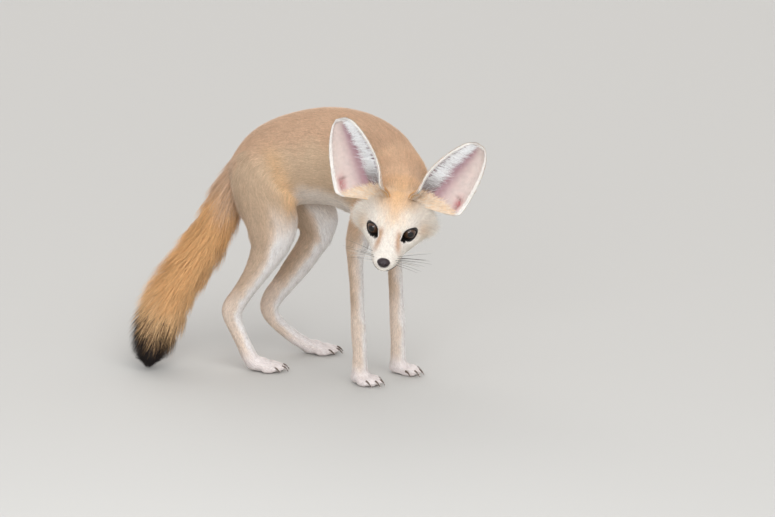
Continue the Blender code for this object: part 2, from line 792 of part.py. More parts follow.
def tail_frames(stations):
    """Middle, side, upright and outer half width of the tail at distances from its root."""
    table = through(TAIL, TAIL_STEPS)
    middle = table[:, :3]
    along = unit(np.gradient(middle, axis=0))
    across = direction(TAIL_DIRECTION)
    side = unit(across - (along @ across)[:, None] * along)
    columns = np.hstack([middle, side, np.cross(along, side), table[:, 3:4]])
    run = np.concatenate([[0], np.cumsum(np.linalg.norm(np.diff(middle, axis=0), axis=1))])
    found = np.stack([np.interp(stations, run, column) for column in columns.T], axis=-1)
    return found[..., :3], found[..., 3:6], found[..., 6:9], found[..., 9]


def tail_length():
    """The length of the tail's middle line."""
    return np.linalg.norm(np.diff(through(TAIL, TAIL_STEPS)[:, :3], axis=0), axis=1).sum()


def round_the_tail(stations, angle, radius):
    """Places round the tail, at distances from its root, angles about it and from its middle."""
    middle, side, upright, _ = tail_frames(stations)
    return (middle + side * (np.cos(angle) * radius)[:, None]
            + upright * (np.sin(angle) * radius)[:, None])


def tail_lock(start, angle, length, width, spread, sway):
    """A flat lock that leaves the core, bends over and lies along the tail to a thin tip."""
    t, wide, thick = np.array(LOCK_TAPER).T
    stations = start + length * t
    outer = tail_frames(stations)[3]
    root = LOCK_ROOT_SHARE * CORE_SHARE * outer[0]
    radius = root + (outer[-1] * spread - root) * (1 - (1 - t) ** LOCK_BEND)
    angle = angle + sway * t**2
    half_width = width / 2 * wide
    half_thick = LOCK_THICK / 2 * thick
    turn = np.minimum(half_width / radius, 1.2)
    corners = ((angle - turn, radius), (angle, radius + half_thick),
               (angle + turn, radius), (angle, radius - half_thick))
    rings = np.stack([round_the_tail(stations, a, r) for a, r in corners], axis=1)
    return closed_loft("lock", place(rings))


def join_all(piece, others):
    """Joins many closed pieces to one by a single union and takes them out of the file."""
    group = bpy.data.collections.new("to_join")
    bpy.context.scene.collection.children.link(group)
    for other in others:
        group.objects.link(other)
    union = piece.modifiers.new("union", "BOOLEAN")
    union.operation = "UNION"
    union.operand_type = "COLLECTION"
    union.collection = group
    bake_modifiers(piece)
    remove(*others)
    bpy.data.collections.remove(group)


def build_tail(body):
    """The bushy tail: a core with rows of locks, dark at its tip, cut clear of the rump."""
    length = tail_length()
    stations = np.linspace(0, length, CORE_RINGS)
    middle, side, _, outer = tail_frames(stations)
    half = CORE_SHARE * outer
    core = sections(middle, direction(TAIL_DIRECTION), half, half, CORE_SIDES)
    tail = closed_loft("core", place(core))
    chance = np.random.default_rng(LOCK_SEED)
    locks = []
    for row, start in enumerate(np.linspace(FIRST_LOCK, length - LAST_LOCK, LOCK_ROWS)):
        for step in range(LOCKS_ROUND):
            shift, begin, size, fullness, sway = chance.uniform(-1, 1, 5) * LOCK_VARIATION
            angle = (step + 0.5 * (row % 2) + shift) * 2 * math.pi / LOCKS_ROUND
            begin += start
            reach = min(LOCK_LENGTH * (1 + size), length - begin)
            room = tail_frames(np.array([begin + 0.5 * reach]))[3][0] / outer.max()
            locks.append(tail_lock(begin, angle, reach, LOCK_WIDTH * room, 1 + fullness, sway))
    join_all(tail, locks)
    combine(tail, swollen(body), "DIFFERENCE")
    largest_part(tail)
    piece = add_object("tail", tail.data, FUR_TAN)
    bpy.data.objects.remove(tail)
    piece.data.materials.append(finish("tail_tip", FUR_BLACK, 0.9))
    for face in piece.data.polygons:
        face.material_index = int(face.center.z < TAIL_DARK_BELOW * MM)


def start_scene():
    """Empties the scene and makes the two collections."""
    for piece in list(bpy.data.objects):
        bpy.data.objects.remove(piece)
    for name in ("fennec_fox", "helpers"):
        collection = bpy.data.collections.new(name)
        bpy.context.scene.collection.children.link(collection)


def build_fox():
    """Builds every node of the fox."""
    start_scene()
    head, smooth_head = build_head()
    body = build_body(smooth_head)
    build_tail(body)
    for name, numbers in EARS.items():
        build_ear(name, numbers, smooth_head)
    remove(body, smooth_head)
    largest_part(head)
    add_object("head", head.data, FUR_CREAM)
    bpy.data.objects.remove(head)


build_fox()
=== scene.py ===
"""Fennec fox: the looks of a life-size still model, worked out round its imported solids.

Lengths are in millimetres until a mesh is made. A place in the turned frame is (across, away, up): the
part's frame turned by TURN, so that across runs along the picture. The head has a frame of its own,
(right, forward, up), built on the middle between the eyes.
"""

from __future__ import annotations

import json
import logging
import math
from dataclasses import dataclass, field
from enum import Enum

import bmesh
import bpy
import numpy as np
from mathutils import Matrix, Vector

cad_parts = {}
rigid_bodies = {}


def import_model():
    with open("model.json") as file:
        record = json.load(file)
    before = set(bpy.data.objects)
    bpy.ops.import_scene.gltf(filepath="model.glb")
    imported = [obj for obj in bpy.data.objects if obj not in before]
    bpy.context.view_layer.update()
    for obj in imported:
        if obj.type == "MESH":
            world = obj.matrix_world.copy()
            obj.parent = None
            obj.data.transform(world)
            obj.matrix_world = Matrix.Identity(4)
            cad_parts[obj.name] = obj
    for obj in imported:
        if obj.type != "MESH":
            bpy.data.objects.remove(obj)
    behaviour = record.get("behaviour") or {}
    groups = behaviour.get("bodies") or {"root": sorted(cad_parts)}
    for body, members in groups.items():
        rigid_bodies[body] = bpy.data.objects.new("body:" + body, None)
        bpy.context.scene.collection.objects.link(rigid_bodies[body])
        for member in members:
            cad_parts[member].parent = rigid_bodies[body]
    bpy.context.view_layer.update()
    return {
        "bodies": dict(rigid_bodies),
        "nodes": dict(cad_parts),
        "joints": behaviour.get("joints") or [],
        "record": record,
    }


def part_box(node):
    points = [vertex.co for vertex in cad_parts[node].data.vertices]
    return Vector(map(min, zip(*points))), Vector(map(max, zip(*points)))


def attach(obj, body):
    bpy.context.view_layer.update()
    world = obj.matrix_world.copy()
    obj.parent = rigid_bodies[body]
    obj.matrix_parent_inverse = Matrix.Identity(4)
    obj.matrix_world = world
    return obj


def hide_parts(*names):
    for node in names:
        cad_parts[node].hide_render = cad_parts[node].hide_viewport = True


log = logging.getLogger("fennec")

MM = 0.001
SEED = 2027
TURN = math.radians(30)
BODY = "root"
BAKE_MAP = "OFBake"
BAKE_PATCH = 0.003
FUR_ATTRIBUTE = "fur"

# How far above the floor the hair and the skin stop.
FLOOR_GAP = 0.5
SKIN_FLOOR_GAP = 0.3

# How many places are measured at a time, to spare memory.
BLOCK = 20000

# The sine waves of the noise: how many, how their lengths vary, and the gain that brings them to 1.
WAVES = 8
WAVE_SPREAD = (0.7, 1.5)
WAVE_GAIN = 1.6

# The fox's right and left.
SIDES = (1, -1)

FLESH_NODES = (
    "head", "neck", "torso", "leg_front_left", "leg_front_right", "leg_hind_left", "leg_hind_right",
)


class Region(Enum):
    """The parts of the coat, each unwrapped along its own bone."""

    HEAD = "head"
    NECK = "neck"
    TORSO = "torso"
    LEG_HIND_RIGHT = "leg_hind_right"
    LEG_HIND_LEFT = "leg_hind_left"
    LEG_FRONT_RIGHT = "leg_front_right"
    LEG_FRONT_LEFT = "leg_front_left"
    TAIL = "tail"


def unit(vectors: np.ndarray) -> np.ndarray:
    """The vectors at length 1."""
    return vectors / np.maximum(np.linalg.norm(vectors, axis=-1, keepdims=True), 1e-9)


def fade(low: float, high: float, values: np.ndarray) -> np.ndarray:
    """A smooth step: 0 below low, 1 above high, 3t^2 - 2t^3 between them."""
    t = np.clip((values - low) / (high - low), 0, 1)
    return t * t * (3 - 2 * t)


def hill(values: np.ndarray, centre: float, reach: float) -> np.ndarray:
    """A bell of height 1 round the centre, exp(-((x - centre) / reach)^2)."""
    return np.exp(-(((values - centre) / reach) ** 2))


def linear(colour: tuple[float, float, float]) -> np.ndarray:
    """A colour as seen on a screen, as the light it stands for.

    That is c / 12.92 up to 0.04045, and ((c + 0.055) / 1.055)^2.4 above.
    """
    c = np.asarray(colour, float)
    return np.where(c <= 0.04045, c / 12.92, ((c + 0.055) / 1.055) ** 2.4)


def lay(base: np.ndarray, *coats: tuple[tuple, np.ndarray]) -> np.ndarray:
    """Lays colours over a base in turn, each as base + (colour - base) * amount.

    Args:
        base: one colour, or a row for each place, as light.
        coats: colours as seen on a screen, each with its amount at each place, from 0 to 1.

    Returns:
        A row of red, green and blue for each place.
    """
    for colour, amount in coats:
        base = base + (linear(colour) - base) * np.clip(amount, 0, 1)[:, None]
    return base


def square_to(vectors: np.ndarray, normals: np.ndarray) -> np.ndarray:
    """The part of each vector that is square to its normal, v - (v . n) n, at length 1."""
    return unit(vectors - np.sum(vectors * normals, axis=-1, keepdims=True) * normals)


def frame_along(path: np.ndarray, side: np.ndarray) -> tuple[np.ndarray, np.ndarray, np.ndarray]:
    """The way along a path, the way across it that is nearest to side, and the way square to both."""
    along = unit(np.gradient(path, axis=0))
    across = square_to(side, along)
    return along, across, np.cross(along, across)


def through(rows: np.ndarray, count: int) -> np.ndarray:
    """Points of a smooth curve through rows of numbers.

    Each stretch is a Catmull-Rom cubic of the four rows round it.

    Args:
        rows: one row for each place on the curve.
        count: how many points to return, evenly spread over the rows.

    Returns:
        An array of count rows.
    """
    rows = np.asarray(rows, float)
    ends = np.vstack([2 * rows[0] - rows[1], rows, 2 * rows[-1] - rows[-2]])
    place_on = np.linspace(0, len(rows) - 1, count)
    first = np.minimum(place_on.astype(int), len(rows) - 2)
    t = (place_on - first)[:, None]
    a, b, c, d = (ends[first + step] for step in range(4))
    return 0.5 * (2 * b + (c - a) * t + (2 * a - 5 * b + 4 * c - d) * t**2
                  + (3 * b - a - 3 * c + d) * t**3)


def ripple(points: np.ndarray, size: float, seed: int) -> np.ndarray:
    """Smooth noise from -1 to 1: the mean of eight sine waves of random heading and phase.

    Args:
        points: places in millimetres.
        size: the waves' typical length in millimetres.
        seed: picks the waves.

    Returns:
        One number for each place.
    """
    chance = np.random.default_rng(seed)
    heading = unit(chance.normal(size=(WAVES, 3))) * (2 * math.pi / size)
    heading *= chance.uniform(*WAVE_SPREAD, (WAVES, 1))
    phase = chance.uniform(0, 2 * math.pi, WAVES)
    return np.sin(points @ heading.T + phase).mean(axis=-1) * WAVE_GAIN


def distance_to(places: np.ndarray, path: np.ndarray) -> np.ndarray:
    """How far each place is from the nearest point of a path, a block of places at a time."""
    blocks = np.array_split(places, max(1, len(places) // BLOCK))
    return np.concatenate([np.linalg.norm(block[:, None] - path[None], axis=-1).min(axis=1)
                           for block in blocks])


def grid_faces(rows: int, columns: int, closed: bool) -> np.ndarray:
    """Corner numbers of the quads of a grid of points, row by row.

    Args:
        rows: points along.
        columns: points across.
        closed: whether the last column joins the first.

    Returns:
        An array of four corner numbers for each quad.
    """
    across = np.arange(columns if closed else columns - 1)
    along = np.arange(rows - 1)[:, None]
    after = (across + 1) % columns
    corners = [along * columns + across, along * columns + after,
               (along + 1) * columns + after, (along + 1) * columns + across]
    return np.stack(corners, axis=-1).reshape(-1, 4)


def new_object(name: str, data: bpy.types.ID) -> bpy.types.Object:
    """Makes an object of a mesh, lamp or lens and links it to the scene."""
    found = bpy.data.objects.new(name, data)
    bpy.context.scene.collection.objects.link(found)
    return found


def move_vertices(mesh: bpy.types.Mesh, places: np.ndarray) -> None:
    """Puts the vertices of a mesh at places in millimetres."""
    mesh.vertices.foreach_set("co", (places * MM).astype(np.float32).ravel())
    mesh.update()


def new_piece(name: str, points: np.ndarray, faces: np.ndarray) -> bpy.types.Object:
    """Makes a smooth-shaded object from points in millimetres and faces of one size.

    Args:
        name: the object's name.
        points: the vertices.
        faces: corner numbers, with as many columns as a face has corners.

    Returns:
        The object, linked to the scene.
    """
    mesh = bpy.data.meshes.new(name)
    count, corners = faces.shape
    mesh.vertices.add(len(points))
    mesh.vertices.foreach_set("co", (points * MM).astype(np.float32).ravel())
    mesh.loops.add(count * corners)
    mesh.loops.foreach_set("vertex_index", faces.astype(np.int32).ravel())
    mesh.polygons.add(count)
    mesh.polygons.foreach_set("loop_start", np.arange(count, dtype=np.int32) * corners)
    mesh.update(calc_edges=True)
    mesh.polygons.foreach_set("use_smooth", np.ones(count, bool))
    return new_object(name, mesh)


def closed_tube(name: str, rings: np.ndarray) -> bpy.types.Object:
    """Makes a closed skin over rings of points, with a point at the middle of each end.

    Args:
        name: the object's name.
        rings: an array of rings, points and three coordinates.

    Returns:
        The object, its faces pointing outwards.
    """
    rows, columns, _ = rings.shape
    points = np.vstack([rings.reshape(-1, 3), rings[0].mean(0), rings[-1].mean(0)])
    quads = grid_faces(rows, columns, True)
    triangles = np.vstack([quads[:, [0, 1, 2]], quads[:, [0, 2, 3]]])
    ring = np.arange(columns)
    after = (ring + 1) % columns
    first = np.stack([after, ring, np.full(columns, rows * columns)], axis=-1)
    start = (rows - 1) * columns
    last = np.stack([start + ring, start + after, np.full(columns, rows * columns + 1)], axis=-1)
    piece = new_piece(name, points, np.vstack([triangles, first, last]))
    point_outwards(piece)
    return piece


def point_outwards(piece: bpy.types.Object) -> None:
    """Turns the faces of a closed mesh outwards."""
    shape = bmesh.new()
    shape.from_mesh(piece.data)
    bmesh.ops.recalc_face_normals(shape, faces=shape.faces)
    shape.to_mesh(piece.data)
    shape.free()


def rings_along(path: np.ndarray, side: np.ndarray, wide: np.ndarray, high: np.ndarray,
                sides: int) -> np.ndarray:
    """Elliptic rings square to a path.

    Args:
        path: points of the middle line.
        side: the direction that the width is measured along.
        wide: half widths.
        high: half heights.
        sides: points in a ring.

    Returns:
        An array of rings, points and three coordinates.
    """
    _, across, upright = frame_along(path, side)
    angle = np.linspace(0, 2 * math.pi, sides, endpoint=False)
    return (path[:, None] + across[:, None] * np.cos(angle)[None, :, None] * wide[:, None, None]
            + upright[:, None] * np.sin(angle)[None, :, None] * high[:, None, None])


def ball_grid(rows: int, columns: int) -> tuple[np.ndarray, np.ndarray]:
    """The angles from a ball's front pole and round it, of a grid that stops just short of the poles."""
    short = 0.01
    return (np.linspace(short, math.pi - short, rows)[:, None],
            np.linspace(0, 2 * math.pi, columns, endpoint=False)[None])


def paint(piece: bpy.types.Object, colours: np.ndarray) -> None:
    """Stores a colour on each vertex for the piece's material to read."""
    layer = piece.data.attributes.new(FUR_ATTRIBUTE, "FLOAT_COLOR", "POINT")
    rgba = np.ones((len(colours), 4), np.float32)
    rgba[:, :3] = colours
    layer.data.foreach_set("color", rgba.ravel())


def vertex_places(mesh: bpy.types.Mesh) -> np.ndarray:
    """The vertices of a mesh in millimetres."""
    points = np.empty(len(mesh.vertices) * 3, np.float32)
    mesh.vertices.foreach_get("co", points)
    return points.reshape(-1, 3).astype(float) / MM


def even_out(mesh: bpy.types.Mesh, values: np.ndarray, rounds: int) -> np.ndarray:
    """Evens values at the vertices of a mesh: each round takes the mean of a vertex and its neighbours.

    Args:
        mesh: the mesh that says which vertices are neighbours.
        values: a row for each vertex.
        rounds: how many times.

    Returns:
        The evened rows.
    """
    edges = np.empty(len(mesh.edges) * 2, np.int32)
    mesh.edges.foreach_get("vertices", edges)
    ends = edges.reshape(-1, 2)
    one, other = np.concatenate([ends[:, 0], ends[:, 1]]), np.concatenate([ends[:, 1], ends[:, 0]])
    count = np.bincount(one, minlength=len(values)) + 1.0
    for _ in range(rounds):
        columns = [np.bincount(one, weights=column[other], minlength=len(values)) for column in values.T]
        values = (values + np.stack(columns, axis=-1)) / count[:, None]
    return values


def vertex_normals(mesh: bpy.types.Mesh) -> np.ndarray:
    """The normals at the vertices of a mesh."""
    normals = np.empty(len(mesh.vertices) * 3, np.float32)
    mesh.vertex_normals.foreach_get("vector", normals)
    return normals.reshape(-1, 3).astype(float)


@dataclass(frozen=True)
class Palette:
    """The fox's colours, as seen on a screen in even light, with painted shade for the hollows of the ears.
    """

    back: tuple = (0.82, 0.68, 0.56)
    flank: tuple = (0.83, 0.72, 0.60)
    belly: tuple = (0.92, 0.87, 0.82)
    shoulder: tuple = (0.86, 0.71, 0.57)
    thigh: tuple = (0.90, 0.735, 0.55)
    leg: tuple = (0.93, 0.85, 0.78)
    leg_back: tuple = (0.80, 0.69, 0.58)
    leg_front: tuple = (0.98, 0.95, 0.93)
    foot: tuple = (0.97, 0.92, 0.90)
    face: tuple = (0.95, 0.91, 0.865)
    forehead: tuple = (0.92, 0.74, 0.53)
    tear: tuple = (0.74, 0.55, 0.38)
    ear_back: tuple = (0.85, 0.72, 0.58)
    ear_rim: tuple = (0.96, 0.93, 0.90)
    ear_skin: tuple = (0.82, 0.745, 0.71)
    # Painted shade: the ear's pink skin darkened to mauve down the cup's deepest line.
    ear_furrow: tuple = (0.63, 0.47, 0.51)
    ear_pocket: tuple = (0.72, 0.42, 0.43)
    # Painted shade: the skin beneath the long hair on the crown side of the cup, darkened.
    ear_under: tuple = (0.66, 0.56, 0.57)
    # Painted shade: dark brown laid beside the ear's folds, low in the cup by the crown, and on hair rooted
    # there.
    ear_fold: tuple = (0.44, 0.35, 0.32)
    ear_base: tuple = (0.94, 0.79, 0.60)
    ear_hair: tuple = (0.98, 0.97, 0.96)
    tail: tuple = (0.88, 0.68, 0.46)
    tail_pale: tuple = (0.92, 0.78, 0.60)
    tail_tip: tuple = (0.11, 0.075, 0.065)
    lid: tuple = (0.06, 0.045, 0.04)
    nose: tuple = (0.16, 0.105, 0.12)
    lip: tuple = (0.20, 0.15, 0.14)
    claw: tuple = (0.36, 0.29, 0.24)
    iris: tuple = (0.28, 0.195, 0.14)
    pupil: tuple = (0.012, 0.010, 0.010)
    floor: tuple = (0.74, 0.73, 0.71)


PALETTE = Palette()

# The tail from root to tip: across, away, up, half width of the whole brush.
TAIL_ROWS = (
    (-9, 35, 203, 11), (-22, 34, 181, 14.5), (-34, 32, 157, 18.5), (-43, 28, 131, 20.5),
    (-54, 25, 114, 21), (-66, 22, 98, 22), (-77, 19, 82, 22.3), (-86.5, 16, 66, 22.3),
    (-93.5, 13, 53, 22.2), (-97.5, 10.5, 41, 21.8), (-100, 8.5, 28, 20), (-101.5, 7, 16, 15.5),
    (-102.5, 6, 5.5, 5),
)
# The core inside the brush: its half width as a share of the brush's, the most that may be, and its hair.
CORE_SHARE = 0.46
CORE_LIMIT = 9.0
CORE_HAIR = 2.5
# The share of the tail where its dark tip starts.
DARK_FROM = 0.785


@dataclass(frozen=True)
class Bone:
    """A middle line of a limb, in the way that its hair lies.

    Attributes:
        region: the part of the coat that it carries.
        rows: across, away, up, the limb's radius and the hair's length, in the turned frame.
    """

    region: Region
    rows: tuple

    def samples(self) -> np.ndarray:
        """Rows read along a smooth curve, ten for each stretch."""
        return through(np.array(self.rows, float), (len(self.rows) - 1) * 10 + 1)


BONES = (
    Bone(Region.TORSO, (
        (140, -62, 172, 20, 10), (127, -37, 182, 31, 11), (117, -22, 188, 36, 11), (96, -7, 199, 39, 11),
        (70, 6, 205, 38, 10), (40, 17, 201, 36, 10), (10, 26, 191, 32, 11), (-14, 33, 177, 24, 13),
        (-30, 37, 166, 10, 17),
    )),
    Bone(Region.NECK, (
        (125, -98, 174, 20, 8), (125, -80, 180, 23, 10), (124, -62, 186, 25, 12), (121, -44, 191, 26, 12),
    )),
    Bone(Region.LEG_HIND_RIGHT, (
        (-8, 12, 200, 12, 10), (-2, 6, 176, 22, 10), (6, 1, 156, 23, 9), (9, -1, 135, 18, 7),
        (3, -3, 111, 13, 5), (-7, 0, 92, 10, 4.5), (-19, 4, 73, 8.5, 4), (-28, 7, 55, 8.5, 3.8),
        (-22, 6, 34, 7, 3.2), (-12, 2, 13, 7.5, 3), (-3, 0, 7, 7, 2.8), (10, -2, 5, 6, 2.6),
        (19, -3, 4, 4, 2.4),
    )),
    Bone(Region.LEG_HIND_LEFT, (
        (0, 46, 200, 12, 10), (12, 50, 178, 22, 10), (27, 52, 159, 22, 9), (44, 55, 140, 18, 7.5),
        (50, 57, 117, 14, 5.5), (43, 58, 102, 12, 4.5), (33, 59, 87, 10, 4.2), (20, 60, 69, 9, 4),
        (7, 60, 50, 8, 3.8), (10, 60, 33, 6.8, 3.2), (29, 60, 16, 6.8, 3), (44, 60, 8, 7, 2.8),
        (60, 59, 5, 6, 2.6), (70, 58, 4, 4, 2.4),
    )),
    Bone(Region.LEG_FRONT_RIGHT, (
        (108, -38, 186, 16, 11), (100, -41, 162, 15, 9), (91, -40, 142, 11, 6), (87, -40, 118, 8, 4),
        (88, -40, 92, 7, 3.6), (89, -40, 62, 6.8, 3.4), (91, -41, 30, 6.8, 3.1), (91, -41, 13, 7.5, 3),
        (94, -44, 7, 8, 2.8), (102, -51, 5, 7, 2.6), (110, -57, 4, 4, 2.4),
    )),
    Bone(Region.LEG_FRONT_LEFT, (
        (130, -5, 186, 16, 11), (126, -1, 162, 15, 9), (123, 1, 142, 11, 6), (122.5, 0, 118, 8, 4),
        (124, -1, 92, 7, 3.6), (125.5, -4, 62, 6.8, 3.4), (126.5, -6, 30, 6.8, 3.1), (126.5, -6, 13, 7.5, 3),
        (130, -9, 7, 8, 2.8), (138, -16, 5, 7, 2.6), (146, -22, 4, 4, 2.4),
    )),
    Bone(Region.TAIL, tuple((*row[:3], row[3] * CORE_SHARE, CORE_HAIR) for row in TAIL_ROWS)),
)


@dataclass(frozen=True)
class HeadFrame:
    """The head's own frame, read from where the eyes and nose of the solids are.

    Attributes:
        origin: the middle between the fronts of the eyes, in the part's frame.
        axes: right, forward and up, as rows.
    """

    origin: np.ndarray
    axes: np.ndarray

    # The eyeballs' middles and the nose from the origin: to the side, forward and up.
    EYE_SET = (15.36, -6.42, -0.66)
    NOSE_SET = (0.0, 43.6, -9.6)

    @classmethod
    def from_frame(cls) -> HeadFrame:
        """Finds the frame from the eyes and the nose."""
        right_eye, left_eye, nose = (middle_of(name) for name in ("eye_right", "eye_left", "nose"))
        right = unit(right_eye - left_eye)
        middle = (right_eye + left_eye) / 2
        towards = nose - middle
        towards = unit(towards - (towards @ right) * right)
        drop = math.atan2(cls.EYE_SET[2] - cls.NOSE_SET[2], cls.NOSE_SET[1] - cls.EYE_SET[1])
        forward = towards * math.cos(drop) + np.cross(right, towards) * math.sin(drop)
        axes = np.stack([right, forward, np.cross(right, forward)])
        return cls(middle - axes[1] * cls.EYE_SET[1] - axes[2] * cls.EYE_SET[2], axes)

    def out(self, points: np.ndarray) -> np.ndarray:
        """Brings places of the head's frame into the part's frame."""
        return np.asarray(points, float) @ self.axes + self.origin

    def into(self, points: np.ndarray) -> np.ndarray:
        """Brings places of the part's frame into the head's frame."""
        return (points - self.origin) @ self.axes.T


def middle_of(node: str) -> np.ndarray:
    """The middle of a node's box in millimetres."""
    low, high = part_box(node)
    return (np.array(low) + np.array(high)) / 2 / MM


@dataclass(frozen=True)
class Stance:
    """The turned frame: how the pose's tables reach the part's frame.

    Attributes:
        shift: where the turned frame's origin is in the part's frame.
    """

    shift: np.ndarray

    # The middle between the eyes in the turned frame.
    EYE_MIDDLE = (120.0, -128.0, 168.3)

    @classmethod
    def from_head(cls, head: HeadFrame) -> Stance:
        """Finds the turned frame from where the head is."""
        return cls(head.origin - cls.turned(np.array(cls.EYE_MIDDLE)))

    @staticmethod
    def turned(points: np.ndarray) -> np.ndarray:
        """Turns places by TURN about the vertical."""
        across, away, up = points[..., 0], points[..., 1], points[..., 2]
        return np.stack([across * math.cos(TURN) - away * math.sin(TURN),
                         across * math.sin(TURN) + away * math.cos(TURN), up], axis=-1)

    def out(self, points: np.ndarray) -> np.ndarray:
        """Brings places of the turned frame into the part's frame."""
        return self.turned(np.asarray(points, float)) + self.shift

    def into(self, points: np.ndarray) -> np.ndarray:
        """Brings places of the part's frame into the turned frame."""
        x, y, up = (points - self.shift).T
        return np.stack([x * math.cos(TURN) + y * math.sin(TURN),
                         y * math.cos(TURN) - x * math.sin(TURN), up], axis=-1)


@dataclass
class Spots:
    """What is known of places on the body: one row for each place.

    Attributes:
        places: the places in the part's frame.
        region: the number of the nearest region.
        share: how far along the nearest bone, from 0 to 1.
        height: how high above the bone, in radii.
        around: the angle about the bone, from 0 to 1.
        lie: the way that the hair lies.
        hair: the hair's length.
    """

    places: np.ndarray
    region: np.ndarray
    share: np.ndarray
    height: np.ndarray
    around: np.ndarray
    lie: np.ndarray
    hair: np.ndarray


class Anatomy:
    """Where each place of the body belongs, and how its hair lies."""

    # How softly the bones share a place, and how far a thick bone draws a place to it, in radii.
    BLEND = 0.22
    DRAW = 0.6
    # How much of its length the hair loses round the eyes, and gains in the ruff and at the ear roots.
    EYE_TRIM = 0.45
    RUFF_HAIR = 8.0
    EAR_ROOT_HAIR = 4.5
    # The head's line from nose to nape: side, ahead, up, radius and hair, in the head's frame.
    HEAD_SAMPLES = 61
    HEAD_LINE = ((0, 46, -11, 7, 2.2), (0, 32, -13, 13, 2.6), (0, 12, -11, 17, 3.6), (0, -8, -8, 25, 5.0),
                 (0, -28, -5, 33, 7.0), (0, -46, -4, 30, 9.0), (0, -60, -3, 16, 10))

    def __init__(self, head: HeadFrame, stance: Stance) -> None:
        """Reads each bone as samples in the part's frame."""
        self.head = head
        self.regions = list(Region)
        self.lines: list[tuple[Region, np.ndarray]] = []
        for bone in BONES:
            rows = bone.samples()
            self.lines.append((bone.region, np.hstack([stance.out(rows[:, :3]), rows[:, 3:]])))
        rows = through(np.array(self.HEAD_LINE, float), self.HEAD_SAMPLES)
        self.lines.append((Region.HEAD, np.hstack([head.out(rows[:, :3]), rows[:, 3:]])))

    def survey(self, places: np.ndarray) -> Spots:
        """Finds the region, lie and length of the hair at places on the body.

        Every bone gives its nearest sample's direction and hair, weighted by
        exp(-((ratio - least ratio) / BLEND)^2), where ratio is the distance over the limb's radius.

        Args:
            places: places in millimetres in the part's frame.

        Returns:
            What is known of each place.
        """
        count, lines = len(places), len(self.lines)
        ratio = np.empty((lines, count))
        share, height, around, hair = (np.empty((lines, count)) for _ in range(4))
        lie = np.empty((lines, count, 3))
        for i, (_, rows) in enumerate(self.lines):
            line = rows[:, :3]
            along = unit(np.gradient(line, axis=0))
            nearest = np.empty(count, int)
            for start in range(0, count, BLOCK):
                part = slice(start, start + BLOCK)
                gap = np.linalg.norm(places[part, None] - line[None], axis=-1) - self.DRAW * rows[:, 3]
                nearest[part] = gap.argmin(axis=1)
            offset = places - line[nearest]
            radius = rows[nearest, 3]
            ratio[i] = np.linalg.norm(offset, axis=-1) / radius
            share[i] = nearest / (len(line) - 1)
            height[i] = offset[:, 2] / radius
            forward = along[nearest]
            side = unit(np.cross(forward, np.array([0.0, 0.0, 1.0]) + 0 * forward))
            upright = np.cross(side, forward)
            angle = np.arctan2(np.sum(offset * upright, axis=-1), np.sum(offset * side, axis=-1))
            around[i] = angle / (2 * math.pi) + 0.5
            lie[i] = forward
            hair[i] = rows[nearest, 4]
        weight = np.exp(-(((ratio - ratio.min(axis=0)) / self.BLEND) ** 2))
        weight /= weight.sum(axis=0)
        best = ratio.argmin(axis=0)
        pick = (best, np.arange(count))
        heads = [region is Region.HEAD for region, _ in self.lines].index(True)
        lie[heads] = self.head_lie(places)
        hair[heads] = self.head_hair(places, hair[heads])
        numbers = np.array([self.regions.index(region) for region, _ in self.lines])
        return Spots(places, numbers[best], share[pick], height[pick], around[pick],
                     unit((lie * weight[..., None]).sum(axis=0)), (hair * weight).sum(axis=0))

    def ruff(self, places: np.ndarray) -> np.ndarray:
        """How much a place belongs to the ruff of the cheeks, from 0 to 1."""
        x, ahead, up = self.head.into(places).T
        return fade(20, 30, np.abs(x)) * hill(up, -4, 14) * hill(ahead, -24, 16)

    def ear_root(self, places: np.ndarray) -> np.ndarray:
        """How near a place is to the foot of an ear, from 0 to 1."""
        x, ahead, up = self.head.into(places).T
        return hill(np.abs(x), 27, 11) * hill(ahead, -19, 9) * hill(up, 14, 9)

    def head_hair(self, places: np.ndarray, base: np.ndarray) -> np.ndarray:
        """The hair's length on the head: longer in the ruff and below the ears, shorter round the eyes."""
        x, ahead, up = self.head.into(places).T
        near_eye = hill(np.abs(x), 18, 10) * hill(up, 0, 9) * hill(ahead, -1, 10)
        return (base * (1 - self.EYE_TRIM * near_eye) + self.RUFF_HAIR * self.ruff(places)
                + self.EAR_ROOT_HAIR * self.ear_root(places))

    def head_lie(self, places: np.ndarray) -> np.ndarray:
        """The hair of the head: back from the nose, out from the middle, and away from the eyes."""
        x, ahead, up = self.head.into(places).T
        cheek = fade(18, 30, np.abs(x)) * fade(18, 4, up)
        spread = np.stack([x * 0.018 + 1.3 * cheek * np.sign(x), -np.ones_like(x) + 0.75 * cheek,
                           np.where(up < -14, -0.25, 0.12) - 0.75 * cheek], axis=-1)
        for side in SIDES:
            from_eye = np.stack([x - side * 18, 0 * x, up], axis=-1)
            near = np.exp(-((from_eye**2).sum(-1) / 14**2))
            spread += unit(from_eye) * (near * 0.9)[:, None]
        up_ear = np.stack([0.5 * np.sign(x), 0 * x, 1 + 0 * x], axis=-1)
        spread += up_ear * (1.2 * self.ear_root(places))[:, None]
        return unit(spread) @ self.head.axes


